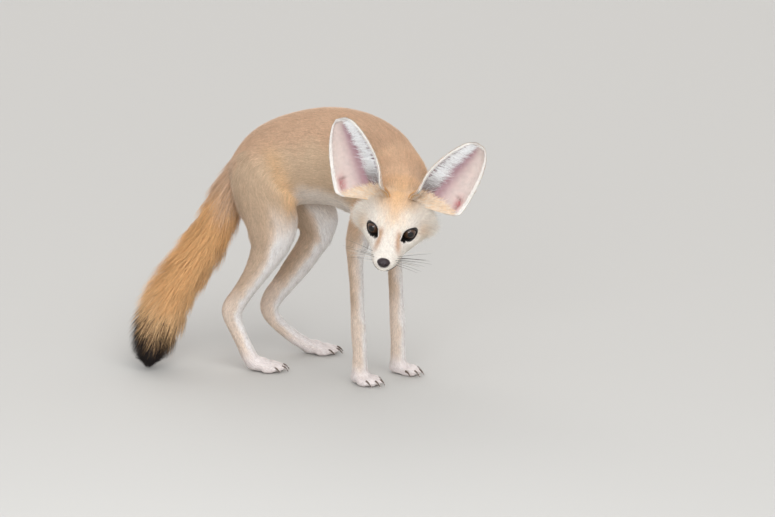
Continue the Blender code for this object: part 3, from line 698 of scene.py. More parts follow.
class Markings:
    """The fox's colours over its body, worked out from where a place is."""

    # The height where the orange band of the thigh starts, and how far down it has run to the front.
    BAND_TOP = 219.0
    BAND_DROP = 52.0
    # How strong the coarse and the fine mottle of the coat are, with the size and seed of each.
    MOTTLE = ((0.05, 9, 5), (0.04, 3.2, 6))

    def __init__(self, head: HeadFrame, stance: Stance) -> None:
        """Keeps the frames that the markings are placed in."""
        self.head = head
        self.stance = stance

    def colours(self, spots: Spots, regions: list[Region]) -> np.ndarray:
        """The colour of the coat at each place, as light.

        Args:
            spots: what is known of the places.
            regions: the regions in the order of their numbers.

        Returns:
            A row of red, green and blue for each place.
        """
        found = np.zeros((len(spots.places), 3))
        for number, region in enumerate(regions):
            here = spots.region == number
            if here.any():
                found[here] = self.of_region(region, spots, here)
        mottle = sum((amount * ripple(spots.places, size, seed) for amount, size, seed in self.MOTTLE), 1.0)
        return np.clip(found * mottle[:, None], 0, 1)

    def of_region(self, region: Region, spots: Spots, here: np.ndarray) -> np.ndarray:
        """The colours of the places of one region."""
        places, share, height = spots.places[here], spots.share[here], spots.height[here]
        if region is Region.HEAD:
            return self.of_head(places)
        if region is Region.TAIL:
            return self.of_tail(places, share, height)
        if region in (Region.TORSO, Region.NECK):
            return self.of_trunk(places, share, height, region)
        return self.of_leg(places, region)

    def of_trunk(self, places: np.ndarray, share: np.ndarray, height: np.ndarray,
                 region: Region) -> np.ndarray:
        """Sandy back, greyer flank and pale belly, with an orange tan shoulder and nape."""
        wave = height + 0.12 * ripple(places, 30, 1)
        found = lay(linear(PALETTE.flank), (PALETTE.back, fade(0.1, 0.75, wave)),
                    (PALETTE.belly, fade(-0.45, -0.85, wave)))
        if region is Region.NECK:
            return lay(found, (PALETTE.shoulder, 0.65 * fade(-0.3, 0.4, wave)),
                       (PALETTE.belly, fade(-0.35, -0.8, wave)))
        ahead = fade(0.32, 0.1, share)
        return lay(found, (PALETTE.thigh, self.thigh_band(places)),
                   (PALETTE.shoulder, 0.6 * ahead * fade(-0.5, 0.2, wave)))

    def ahead_of_bone(self, places: np.ndarray, region: Region) -> np.ndarray:
        """How far places are to the front of a leg's bone at their own height."""
        rows = next(bone for bone in BONES if bone.region is region).samples()
        rows = rows[np.argsort(rows[:, 2])]
        turned = self.stance.into(places)
        return turned[:, 0] - np.interp(turned[:, 2], rows[:, 2], rows[:, 0])

    def of_leg(self, places: np.ndarray, region: Region) -> np.ndarray:
        """Tan at the top and down the back, an orange band on the thigh, white down the front."""
        hind = region in (Region.LEG_HIND_RIGHT, Region.LEG_HIND_LEFT)
        up = places[:, 2] + 5 * ripple(places, 25, 2)
        front = self.ahead_of_bone(places, region) + 1.5 * ripple(places, 12, 3)
        top = (PALETTE.flank, fade(130, 175, up)) if hind else (PALETTE.shoulder, fade(135, 175, up))
        found = lay(linear(PALETTE.leg),
                    (PALETTE.leg_back, 0.8 * fade(2, -5, front) * fade(60, 85, up)),
                    (PALETTE.leg_front, fade(0, 6, front) * fade(175, 150, up)), top)
        if hind:
            found = lay(found, (PALETTE.leg_back, 0.5 * fade(6, -14, front) * fade(90, 130, up)),
                        (PALETTE.thigh, self.thigh_band(places)))
        return lay(found, (PALETTE.foot, fade(26, 8, up)))

    def thigh_band(self, places: np.ndarray) -> np.ndarray:
        """How strong the orange band down the front of each thigh is, from 0 to 1."""
        across, away, up = self.stance.into(places).T
        run = np.clip((self.BAND_TOP - up) / self.BAND_DROP, 0, 1)
        span = fade(self.BAND_TOP + 8, self.BAND_TOP - 14, up) * fade(150, 170, up)
        near = fade(14, 4, away) * hill(across, 14 + 15 * run, 9)
        far = fade(40, 50, away) * hill(across, 38 + 15 * run, 9)
        return span * (0.5 + 0.4 * run) * (near + far)

    def of_tail(self, places: np.ndarray, share: np.ndarray, up: np.ndarray) -> np.ndarray:
        """Orange tan, sandy at the root, paler below, brown-black at the tip."""
        wave = share + 0.03 * ripple(places, 18, 41)
        found = lay(linear(PALETTE.tail), (PALETTE.tail_pale, 0.5 * fade(0.2, -0.8, up)),
                    (PALETTE.back, fade(0.3, 0.14, wave)),
                    (PALETTE.tail_pale, 0.5 * hill(wave, 0.745, 0.07)),
                    (PALETTE.tail_tip, fade(DARK_FROM - 0.05, DARK_FROM + 0.07, wave)))
        return found * (1 + 0.06 * ripple(places, 7, 42))[:, None]

    def of_head(self, places: np.ndarray) -> np.ndarray:
        """White face, pale orange forehead, orange below the ears, and brown lines down from the eyes."""
        x, ahead, up = self.head.into(places).T
        side = np.abs(x)
        crown = fade(6, 24, up) * fade(0, -16, ahead) * fade(34, 14, side)
        streak = hill(side, 0, 7) * fade(2, 14, up) * fade(16, -2, ahead)
        below_ear = hill(side, 33, 7) * hill(ahead, -18, 8) * hill(up, 13, 5)
        nape = fade(-38, -56, ahead) * fade(0, 14, up)
        temple = hill(side, 27, 4) * hill(up, 1, 8) * hill(ahead, -10, 8)
        strands = 0.5 + 0.5 * ripple(np.stack([x * 3.2, ahead * 0.35, up * 0.35], axis=-1), 7, 9)
        strands = 0.35 * strands * fade(-6, 10, up) * fade(20, 8, side)
        tear = np.exp(-(((side - 8.4 - 0.05 * (ahead - 8)) / 2.2) ** 2))
        tear *= fade(33, 20, ahead) * fade(5, 11, ahead) * fade(-17, -9, up)
        return lay(linear(PALETTE.face), (PALETTE.forehead, 0.82 * crown), (PALETTE.forehead, 0.55 * streak),
                   (PALETTE.forehead, 0.9 * below_ear), (PALETTE.shoulder, 0.85 * nape),
                   (PALETTE.forehead, 0.6 * temple), (PALETTE.forehead, strands),
                   (PALETTE.tear, 0.75 * tear))


@dataclass(frozen=True)
class Relief:
    """How a material raises its surface.

    Attributes:
        scale: cells or waves to the metre.
        strength: how much of it shows, from 0 to 1.
        distance: its height in metres at full strength.
        detail: the noise's detail, or None for pebbles.
    """

    scale: float
    strength: float
    distance: float
    detail: float | None = 4.0


@dataclass(frozen=True)
class Look:
    """A material over the painted colour.

    Attributes:
        settings: the shader's values by the name of each.
        mottle: waves to the metre and detail of the noise that the colour varies by.
        span: the factors at the darkest and the brightest of it.
        relief: how the surface is raised, if it is.
    """

    settings: dict
    mottle: tuple
    span: tuple
    relief: Relief | None = None


# Matt hair, short dense fur on the skin, thin ear skin lit a little from within, bare moist skin of the
# lids, lips and nose, the eye under its wet clear coat, and smooth streaked claw horn.
LOOKS = {
    "fur_coat": Look({"Roughness": 0.62, "Specular IOR Level": 0.28, "Sheen Weight": 0.12,
                      "Sheen Roughness": 0.45}, (420, 3.0), (0.82, 1.16)),
    "fur_undercoat": Look({"Roughness": 0.85, "Specular IOR Level": 0.2, "Sheen Weight": 0.2},
                          (1500, 4.0), (0.7, 1.15), Relief(1500, 0.6, 0.0006)),
    "ear_skin": Look({"Roughness": 0.55, "Subsurface Weight": 0.15,
                      "Subsurface Radius": (0.004, 0.0012, 0.0008), "Subsurface Scale": 1.0},
                     (260, 5.0), (0.82, 1.14), Relief(900, 0.35, 0.0005)),
    "moist_skin": Look({"Roughness": 0.45, "Specular IOR Level": 0.35, "Coat Weight": 0.12,
                        "Coat Roughness": 0.25}, (700, 3.0), (0.7, 1.3),
                       Relief(1500, 0.5, 0.0004, detail=None)),
    "eye": Look({"Roughness": 0.4, "Specular IOR Level": 0.0, "Coat Weight": 1.0,
                 "Coat Roughness": 0.02}, (1800, 4.0), (0.7, 1.3)),
    "claw_horn": Look({"Roughness": 0.38}, (900, 3.0), (0.75, 1.2)),
}


class Finish:
    """Materials of the fox, each made once."""

    def __init__(self) -> None:
        """Starts with no material made."""
        self.made: dict[str, bpy.types.Material] = {}

    def of(self, name: str) -> bpy.types.Material:
        """The material of one of the looks, made when it is first asked for."""
        if name not in self.made:
            self.made[name] = self.make(name, LOOKS[name])
        return self.made[name]

    def make(self, name: str, look: Look) -> bpy.types.Material:
        """Makes a material that shows the painted colour, mottled and raised as its look says."""
        material, tree, shader = self.start(name, look.settings)
        self.tinted(tree, shader, self.texture(tree, *look.mottle), look.span)
        if look.relief:
            height = self.texture(tree, look.relief.scale, look.relief.detail)
            bump = tree.nodes.new("ShaderNodeBump")
            bump.inputs["Strength"].default_value = look.relief.strength
            bump.inputs["Distance"].default_value = look.relief.distance
            tree.links.new(height, bump.inputs["Height"])
            tree.links.new(bump.outputs["Normal"], shader.inputs["Normal"])
        return material

    @staticmethod
    def start(name: str, settings: dict) -> tuple[bpy.types.Material, bpy.types.NodeTree, bpy.types.Node]:
        """A new material, its tree and its shader, with the shader's settings made."""
        material = bpy.data.materials.new(name)
        material.use_nodes = True
        tree = material.node_tree
        shader = tree.nodes["Principled BSDF"]
        for setting, value in settings.items():
            shader.inputs[setting].default_value = value
        return material, tree, shader

    @staticmethod
    def texture(tree: bpy.types.NodeTree, scale: float, detail: float | None) -> bpy.types.NodeSocket:
        """Noise, or pebbles where there is no detail, on Object coordinates.

        Args:
            tree: the material's tree.
            scale: waves or cells to the metre.
            detail: the noise's detail, or None for pebbles.

        Returns:
            The texture's value.
        """
        where = tree.nodes.new("ShaderNodeTexCoord")
        node = tree.nodes.new("ShaderNodeTexVoronoi" if detail is None else "ShaderNodeTexNoise")
        node.inputs["Scale"].default_value = scale
        tree.links.new(where.outputs["Object"], node.inputs["Vector"])
        if detail is None:
            return node.outputs["Distance"]
        node.inputs["Detail"].default_value = detail
        return node.outputs["Fac"]

    @staticmethod
    def tinted(tree: bpy.types.NodeTree, shader: bpy.types.Node, factor: bpy.types.NodeSocket,
               span: tuple) -> None:
        """Colours the shader by the painted colour, darkened and lightened over a span by a factor."""
        painted = tree.nodes.new("ShaderNodeAttribute")
        painted.attribute_name = FUR_ATTRIBUTE
        amount = tree.nodes.new("ShaderNodeMapRange")
        amount.inputs["To Min"].default_value, amount.inputs["To Max"].default_value = span
        scale = tree.nodes.new("ShaderNodeVectorMath")
        scale.operation = "SCALE"
        tree.links.new(factor, amount.inputs["Value"])
        tree.links.new(painted.outputs["Color"], scale.inputs[0])
        tree.links.new(amount.outputs["Result"], scale.inputs["Scale"])
        tree.links.new(scale.outputs["Vector"], shader.inputs["Base Color"])

    def floor(self) -> bpy.types.Material:
        """A plain pale floor."""
        return self.start("floor", {"Base Color": (*linear(PALETTE.floor), 1), "Roughness": 0.85})[0]


def join_fox(piece: bpy.types.Object, material: bpy.types.Material) -> bpy.types.Object:
    """Gives a piece its material and slot, and lets it ride on the body."""
    piece.data.materials.clear()
    piece.data.materials.append(material)
    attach(piece, BODY)
    log.info("%s: %d faces", piece.name, len(piece.data.polygons))
    return piece


@dataclass
class Skin:
    """One skin over the flesh nodes and the core of the tail, inside the solids by the coat's depth.

    Attributes:
        voxel: the cells that the joined solids are remeshed in.
        swell: how far each solid is moved out first, to close the gaps between them.
        rounds: how many times the remeshed skin is smoothed.
        trunk_rounds: how many times the trunk is evened on top of that.
        edge_rounds: how many times the edge of that evening is blurred.
        depth_share: how deep the skin lies, as a share of the hair's length.
        trunk_fill: how far the trunk is moved out again.
        hip_level: the height from which the legs count as trunk.
        socket_radius: the radius of the balls that fill the eyes' sockets.
        shade: how bright the skin is beside the coat.
        face: the skin's vertices before the eyes are hollowed, once it is built.
    """

    voxel: float = 1.3
    swell: float = 0.35
    rounds: int = 6
    trunk_rounds: int = 60
    edge_rounds: int = 12
    depth_share: float = 0.28
    trunk_fill: float = 2.6
    hip_level: float = 125.0
    socket_radius: float = 7.8
    shade: float = 0.85
    face: np.ndarray | None = None

    def build(self, frame: dict, head: HeadFrame, core: bpy.types.Object, anatomy: Anatomy,
              markings: Markings) -> tuple[bpy.types.Object, Spots]:
        """Joins, remeshes, smooths and sinks the skin.

        Args:
            head: the head's frame.
            core: the core of the tail, which the skin takes in.
            anatomy: where places belong.
            markings: the coat's colours.

        Returns:
            The skin and what is known of its vertices.
        """
        skin = self.remeshed(self.joined(frame, core))
        places = vertex_places(skin.data)
        spots = anatomy.survey(places)
        amount = even_out(skin.data, self.on_trunk(spots, anatomy), self.edge_rounds)
        places = places + (even_out(skin.data, places, self.trunk_rounds) - places) * amount
        move_vertices(skin.data, places)
        rise = self.trunk_fill * amount[:, 0] - spots.hair * self.depth_share
        sunk = places + vertex_normals(skin.data) * rise[:, None]
        sunk[:, 2] = np.maximum(sunk[:, 2], SKIN_FLOOR_GAP)
        self.face = sunk.copy()
        for side in SIDES:
            sunk = Eye(side, head).hollow(sunk)
        move_vertices(skin.data, sunk)
        spots.places = sunk
        skin.data.polygons.foreach_set("use_smooth", np.ones(len(skin.data.polygons), bool))
        paint(skin, markings.colours(spots, anatomy.regions) * self.shade)
        return skin, spots

    def joined(self, frame: dict, core: bpy.types.Object) -> bpy.types.Mesh:
        """The flesh nodes, the core of the tail and the eyes' sockets as one mesh of loose parts."""
        shape = bmesh.new()
        for name in FLESH_NODES:
            self.add_swollen(shape, frame["nodes"][name].data)
        shape.from_mesh(core.data)
        bpy.data.objects.remove(core)
        for node in ("eye_right", "eye_left"):
            ball = bmesh.ops.create_uvsphere(shape, u_segments=32, v_segments=16,
                                             radius=self.socket_radius * MM)
            bmesh.ops.translate(shape, verts=ball["verts"], vec=Vector(middle_of(node) * MM))
        mesh = bpy.data.meshes.new("skin")
        shape.to_mesh(mesh)
        shape.free()
        return mesh

    def remeshed(self, mesh: bpy.types.Mesh) -> bpy.types.Object:
        """The loose parts as one smooth closed skin."""
        skin = new_object("skin", mesh)
        remesh = skin.modifiers.new("one_skin", "REMESH")
        remesh.mode = "VOXEL"
        remesh.voxel_size = self.voxel * MM
        soften = skin.modifiers.new("soften", "SMOOTH")
        soften.iterations = self.rounds
        graph = bpy.context.evaluated_depsgraph_get()
        skin.data = bpy.data.meshes.new_from_object(skin.evaluated_get(graph))
        skin.modifiers.clear()
        return skin

    def on_trunk(self, spots: Spots, anatomy: Anatomy) -> np.ndarray:
        """Which places are evened as the trunk: 1 on torso, neck and the tops of the legs, or else 0."""
        trunk, apart = (np.isin(spots.region, [anatomy.regions.index(region) for region in pair])
                        for pair in ((Region.TORSO, Region.NECK), (Region.HEAD, Region.TAIL)))
        trunk |= ~apart & (spots.places[:, 2] > self.hip_level)
        return trunk[:, None].astype(float)

    def add_swollen(self, shape: bmesh.types.BMesh, mesh: bpy.types.Mesh) -> None:
        """Adds a merged copy of a node's mesh, moved out along its normals to close the gaps."""
        part = bmesh.new()
        part.from_mesh(mesh)
        bmesh.ops.remove_doubles(part, verts=part.verts, dist=1e-6)
        part.normal_update()
        for vert in part.verts:
            vert.co += vert.normal * self.swell * MM
        copy = bpy.data.meshes.new("swollen")
        part.to_mesh(copy)
        part.free()
        shape.from_mesh(copy)
        bpy.data.meshes.remove(copy)


@dataclass
class TuftSet:
    """Tufts of hair ready to be made: one row for each.

    Attributes:
        roots: where they are rooted.
        rise: the way out of the skin.
        lie: the way along the skin.
        length: how far each reaches along the lie.
        height: how far each stands off the skin at its tip.
        drop: how far the skin falls away under its tip.
        width: how wide each is at its root.
        colour: its colour.
        unwrap: its place on the unwrapped skin, from 0 to 1 both ways.
        lit: the way that the light takes it to face.
    """

    roots: np.ndarray
    rise: np.ndarray
    lie: np.ndarray
    length: np.ndarray
    height: np.ndarray
    drop: np.ndarray
    width: np.ndarray
    colour: np.ndarray
    unwrap: np.ndarray
    lit: np.ndarray

    def part(self, chosen: np.ndarray) -> TuftSet:
        """The tufts that are chosen."""
        return TuftSet(*(getattr(self, name)[chosen] for name in self.__dataclass_fields__))


@dataclass(frozen=True)
class TuftShape:
    """How a tuft is drawn: a thin three-sided blade that rises, bends over and tapers to a tip.

    Attributes:
        segments: lengths between its root and its tip.
        flat: its thickness as a share of its width.
        curl: how far its tip may swing to a side, as a share of its length.
        clump: the size of the clumps that the tips gather in.
        gather: how far a tip moves to its clump's middle, from 0 to 1.
        root_shade: the colour's brightness at the root.
        tip_shade: the colour's brightness at the tip.
        round_shade: how round the light takes it to be, from 0, as flat as the skin, upwards.
        taper: how late it narrows, 1 for evenly from root to tip.
        under_tilt: how far its underside's shading leans towards the skin.
    """

    segments: int = 2
    flat: float = 0.5
    curl: float = 0.1
    clump: float = 3.0
    gather: float = 0.45
    root_shade: float = 0.82
    tip_shade: float = 1.1
    round_shade: float = 0.7
    taper: float = 1.6
    under_tilt: float = 0.2

    def build(self, name: str, tufts: TuftSet, chance: np.random.Generator) -> bpy.types.Object:
        """Makes one mesh of all the tufts.

        A tuft's middle line is root + lie * length * t + rise * (height * (1 - (1 - t)^2) - drop * t^2),
        moved towards its clump's middle and swung to a side by t^2. Its rings are triangles that shrink to
        the tip. Its shading normals lean towards the skin's, as the light on a dense coat does.

        Args:
            name: the piece's name.
            tufts: what to make.
            chance: the source of the random swing.

        Returns:
            The piece, with its colours and its bake map.
        """
        count = len(tufts.roots)
        side = unit(np.cross(tufts.lie, tufts.rise))
        swing = chance.normal(0, self.curl, count) * tufts.length
        pull = self.clump_pull(tufts.roots, chance)
        steps = np.arange(self.segments) / self.segments
        angle = np.radians([90, 210, 330])
        ring = (side[:, None] * np.cos(angle)[None, :, None]
                + tufts.rise[:, None] * (self.flat * np.sin(angle))[None, :, None])
        lit = unit(ring * self.round_shade + tufts.lit[:, None])
        rows, normals = [], []
        for t in [*steps, 1.0]:
            up = tufts.height * (1 - (1 - t) ** 2) - tufts.drop * t * t
            middle = (tufts.roots + tufts.lie * (tufts.length * t)[:, None] + tufts.rise * up[:, None]
                      + side * (swing * t * t)[:, None] + pull * (self.gather * t * t))
            middle[:, 2] = np.maximum(middle[:, 2], FLOOR_GAP)
            if t == 1.0:
                rows.append(middle[:, None])
                normals.append(tufts.lit[:, None])
                continue
            half = tufts.width * (1 - t**self.taper) / 2
            rows.append(middle[:, None] + ring * half[:, None, None])
            normals.append(lit)
        points = np.concatenate(rows, axis=1)
        per = points.shape[1]
        pattern = self.faces()
        faces = (pattern[None] + (np.arange(count) * per)[:, None, None]).reshape(-1, 3)
        piece = new_piece(name, points.reshape(-1, 3), faces)
        shade = np.concatenate([np.repeat(self.root_shade + (self.tip_shade - self.root_shade) * steps, 3),
                                [self.tip_shade]])
        paint(piece, np.clip(tufts.colour[:, None] * shade[None, :, None], 0, 1).reshape(-1, 3))
        self.map_for_bake(piece, tufts.unwrap, faces, per)
        corners = np.concatenate(normals, axis=1).reshape(-1, 3)[faces].reshape(count, len(pattern), 3, 3)
        below = unit(tufts.lie - self.under_tilt * tufts.rise)
        corners[:, self.underside()] = below[:, None, None]
        piece.data.normals_split_custom_set(corners.reshape(-1, 3))
        return piece

    def clump_pull(self, roots: np.ndarray, chance: np.random.Generator) -> np.ndarray:
        """The way from each root to the middle of its clump, the roots that share a cell of a cubic grid."""
        cells = np.floor((roots + chance.uniform(0, self.clump, 3)) / self.clump).astype(np.int64)
        key = (cells * np.array([73856093, 19349663, 83492791])).sum(axis=1)
        _, group, sizes = np.unique(key, return_inverse=True, return_counts=True)
        middle = np.stack([np.bincount(group, weights=column) for column in roots.T], axis=-1)
        return (middle / sizes[:, None])[group] - roots

    def faces(self) -> np.ndarray:
        """The triangles of one tuft: its root's cap, its sides and its tip."""
        found = [[0, 1, 2]]
        for step in range(self.segments - 1):
            for i in range(3):
                a, b = step * 3 + i, step * 3 + (i + 1) % 3
                found += [[a, a + 3, b], [b, a + 3, b + 3]]
        last = (self.segments - 1) * 3
        found += [[last + i, last + 3, last + (i + 1) % 3] for i in range(3)]
        return np.array(found)

    def underside(self) -> list[int]:
        """Which of a tuft's triangles face the skin."""
        lengths = [number for step in range(self.segments - 1) for number in (6 * step + 3, 6 * step + 4)]
        return [*lengths, 6 * (self.segments - 1) + 2]

    @staticmethod
    def map_for_bake(piece: bpy.types.Object, unwrap: np.ndarray, faces: np.ndarray, per: int) -> None:
        """Gives each tuft a small patch of the bake map at its root's place."""
        at = BAKE_PATCH + np.clip(unwrap, 0, 1) * (1 - 2 * BAKE_PATCH)
        turn = np.arange(per) * (2 * math.pi / per)
        patch = np.stack([np.cos(turn), np.sin(turn)], axis=-1) * BAKE_PATCH / 2
        uv = (at[:, None] + patch[None]).reshape(-1, 2)[faces.ravel()]
        layer = piece.data.uv_layers.new(name=BAKE_MAP)
        layer.data.foreach_set("uv", uv.astype(np.float32).ravel())


@dataclass(frozen=True)
class CoatPlan:
    """How much hair a region has.

    Attributes:
        region: which part of the body.
        count: how many tufts.
        pieces: how many meshes they are split into, round the limb.
        width: a tuft's width at its root.
        slot: the record's slot, which is not used.
        shape: how each tuft is drawn.
        stand: how far its tip stands off the skin, as a share of its length.
    """

    region: Region
    count: int
    pieces: int
    width: float
    slot: str
    shape: TuftShape = field(default_factory=TuftShape)
    stand: float = 0.26


FACE_TUFT = TuftShape(segments=1, gather=0.4, clump=1.6, root_shade=0.86)
BACK_TUFT = TuftShape(segments=1, clump=2.4, gather=0.3, curl=0.07, root_shade=0.88, tip_shade=1.08,
                      round_shade=0.5)
LEG_TUFT = TuftShape(segments=1, gather=0.35, clump=2.0, root_shade=0.88)
COAT_PLANS = (
    CoatPlan(Region.HEAD, 74000, 2, 0.42, "face_fur", FACE_TUFT),
    CoatPlan(Region.NECK, 22000, 1, 0.6, "body_fur", BACK_TUFT, 0.17),
    CoatPlan(Region.TORSO, 76000, 3, 0.6, "body_fur", BACK_TUFT, 0.17),
    CoatPlan(Region.LEG_HIND_RIGHT, 30000, 1, 0.52, "leg_fur", BACK_TUFT),
    CoatPlan(Region.LEG_HIND_LEFT, 28000, 1, 0.52, "leg_fur", BACK_TUFT),
    CoatPlan(Region.LEG_FRONT_RIGHT, 18000, 1, 0.46, "leg_fur", LEG_TUFT),
    CoatPlan(Region.LEG_FRONT_LEFT, 18000, 1, 0.46, "leg_fur", LEG_TUFT),
)


@dataclass
class Coat:
    """Tufts over the skin, in meshes by region.

    Attributes:
        skin: the skin.
        spots: what is known of its vertices.
        anatomy: where places belong.
        markings: the coat's colours.
        head: the head's frame.
        finish: the materials.
        length_spread: how much a tuft's length strays from its place's, as a share.
        wander: how far single tufts stray from the lie of the hair.
        sway: how far neighbours stray from it together.
        sole_level: the height below which the paws are bare.
        normal_rounds: how many times the skin's normals are evened.
        normals: the evened normals, once the coat is built.
    """

    skin: bpy.types.Object
    spots: Spots
    anatomy: Anatomy
    markings: Markings
    head: HeadFrame
    finish: Finish
    length_spread: float = 0.25
    wander: float = 0.16
    sway: float = 0.16
    sole_level: float = 2.2
    normal_rounds: int = 6
    normals: np.ndarray | None = None

    # How much the lids' edge is grown where no hair is rooted, and where no tip lies.
    ROOT_CLEAR = 1.36
    TIP_CLEAR = 1.34
    # Half sizes of the bare round of the nose, and how sharply a tuft may follow the skin.
    NOSE_CLEAR = (6.2, 6.0, 5.4)
    TURN_LIMITS = (-0.02, 0.06)
    # How tufts vary: the limits of their length, and the range of their stand, brightness and width.
    LENGTH_LIMITS = (0.5, 1.6)
    STAND_RANGE = (0.55, 1.25)
    BRIGHTNESS_RANGE = (0.82, 1.17)
    WIDTH_RANGE = (0.7, 1.25)
    # The size and first seed of the sway that neighbours share.
    SWAY_SIZE = 16
    SWAY_SEED = 20
    # How much higher hair stands in the ruff and at the ear roots.
    RUFF_RISE = 1.9
    EAR_RISE = 0.9

    def build(self) -> None:
        """Makes the coat of every region."""
        chance = np.random.default_rng(SEED)
        self.normals = unit(even_out(self.skin.data, vertex_normals(self.skin.data), self.normal_rounds))
        triangles = self.triangles()
        for plan in COAT_PLANS:
            tufts = self.tufts_of(plan, triangles, chance)
            order = np.argsort(tufts.unwrap[:, 1], kind="stable")
            for number, chosen in enumerate(np.array_split(order, plan.pieces), 1):
                name = f"coat_{plan.region.value}" + (f"_{number}" if plan.pieces > 1 else "")
                piece = plan.shape.build(name, tufts.part(chosen), chance)
                join_fox(piece, self.finish.of("fur_coat"))

    def triangles(self) -> np.ndarray:
        """The skin's triangles as vertex numbers."""
        mesh = self.skin.data
        mesh.calc_loop_triangles()
        found = np.empty(len(mesh.loop_triangles) * 3, np.int32)
        mesh.loop_triangles.foreach_get("vertices", found)
        return found.reshape(-1, 3)

    def tufts_of(self, plan: CoatPlan, triangles: np.ndarray, chance: np.random.Generator) -> TuftSet:
        """Roots tufts all over a region, by area, and gives them their lie and length.

        Args:
            plan: how much hair.
            triangles: the skin's triangles.
            chance: the source of the random draws.

        Returns:
            The tufts.
        """
        number = self.anatomy.regions.index(plan.region)
        mine = triangles[(self.spots.region[triangles] == number).all(axis=1)]
        corners = self.spots.places[mine]
        cross = np.cross(corners[:, 1] - corners[:, 0], corners[:, 2] - corners[:, 0])
        area = np.linalg.norm(cross, axis=1)
        crowd = area / np.sqrt(self.spots.hair[mine[:, 0]])
        picked = chance.choice(len(mine), plan.count, p=crowd / crowd.sum())
        u, v = np.sqrt(chance.random(plan.count)), chance.random(plan.count)
        share = np.stack([1 - u, u * (1 - v), u * v], axis=-1)
        corner = mine[picked]
        roots = self.between(self.spots.places[corner], share)
        rise = unit(self.between(self.normals[corner], share))
        lie = self.between(self.spots.lie[corner], share)
        sway = [ripple(roots, self.SWAY_SIZE, self.SWAY_SEED + axis) for axis in range(3)]
        lie = lie + self.sway * np.stack(sway, axis=-1)
        lie = lie + chance.normal(0, self.wander, roots.shape)
        lie = square_to(lie, rise)
        hair = self.between(self.spots.hair[corner], share)
        length = hair * (1 + chance.normal(0, self.length_spread, plan.count)).clip(*self.LENGTH_LIMITS)
        height = hair * plan.stand * chance.uniform(*self.STAND_RANGE, plan.count)
        if plan.region is Region.HEAD:
            height *= (1 + self.RUFF_RISE * self.anatomy.ruff(roots)
                       + self.EAR_RISE * self.anatomy.ear_root(roots))
        drop = self.curve_along(corner, lie) * length**2 / 2
        first = mine[picked, 0]
        unwrap = np.stack([self.spots.share[first], self.spots.around[first]], axis=-1)
        spots = Spots(roots, self.spots.region[first], self.spots.share[first], self.spots.height[first],
                      self.spots.around[first], lie, hair)
        colour = self.markings.colours(spots, self.anatomy.regions)
        colour = colour * chance.uniform(*self.BRIGHTNESS_RANGE, (plan.count, 1))
        width = plan.width * chance.uniform(*self.WIDTH_RANGE, plan.count)
        tufts = TuftSet(roots, rise, lie, length, height, drop, width, colour, unwrap, rise)
        return tufts.part(self.allowed(plan.region, roots, roots + lie * length[:, None]))

    @staticmethod
    def between(corners: np.ndarray, share: np.ndarray) -> np.ndarray:
        """The mean of values at the corners of triangles, weighted by share."""
        share = share if corners.ndim == 2 else share[..., None]
        return (corners * share).sum(axis=1)

    def curve_along(self, corner: np.ndarray, lie: np.ndarray) -> np.ndarray:
        """How sharply the skin turns down along the lie, one over the radius.

        Over a triangle the normal changes linearly, so its change along a way is a (n1 - n0) +
        b (n2 - n0), where a and b are the way's parts along the two sides from the first corner.

        Args:
            corner: vertex numbers of the triangles.
            lie: the way in each.

        Returns:
            The turn, positive where the skin falls away, held within reason.
        """
        place, normal = self.spots.places[corner], self.normals[corner]
        first, second = place[:, 1] - place[:, 0], place[:, 2] - place[:, 0]
        face = np.cross(first, second)
        size = np.maximum((face**2).sum(axis=-1), 1e-6)
        a = np.sum(np.cross(lie, second) * face, axis=-1) / size
        b = np.sum(np.cross(first, lie) * face, axis=-1) / size
        turn = (a[:, None] * (normal[:, 1] - normal[:, 0]) + b[:, None] * (normal[:, 2] - normal[:, 0]))
        return np.clip(np.sum(turn * lie, axis=-1), *self.TURN_LIMITS)

    def allowed(self, region: Region, roots: np.ndarray, tips: np.ndarray) -> np.ndarray:
        """Which tufts are kept: none in the eyes, on the nose or under the paws."""
        keep = roots[:, 2] > self.sole_level
        if region is Region.HEAD:
            for side in SIDES:
                eye = Eye(side, self.head)
                keep &= ~eye.covers(roots, self.ROOT_CLEAR) & ~eye.covers(tips, self.TIP_CLEAR)
            nose = self.head.into(roots) - np.array(HeadFrame.NOSE_SET)
            keep &= ((nose / np.array(self.NOSE_CLEAR)) ** 2).sum(axis=-1) > 1
            keep &= distance_to(roots, Muzzle().path(self.head)) > Muzzle.BARE
        return keep


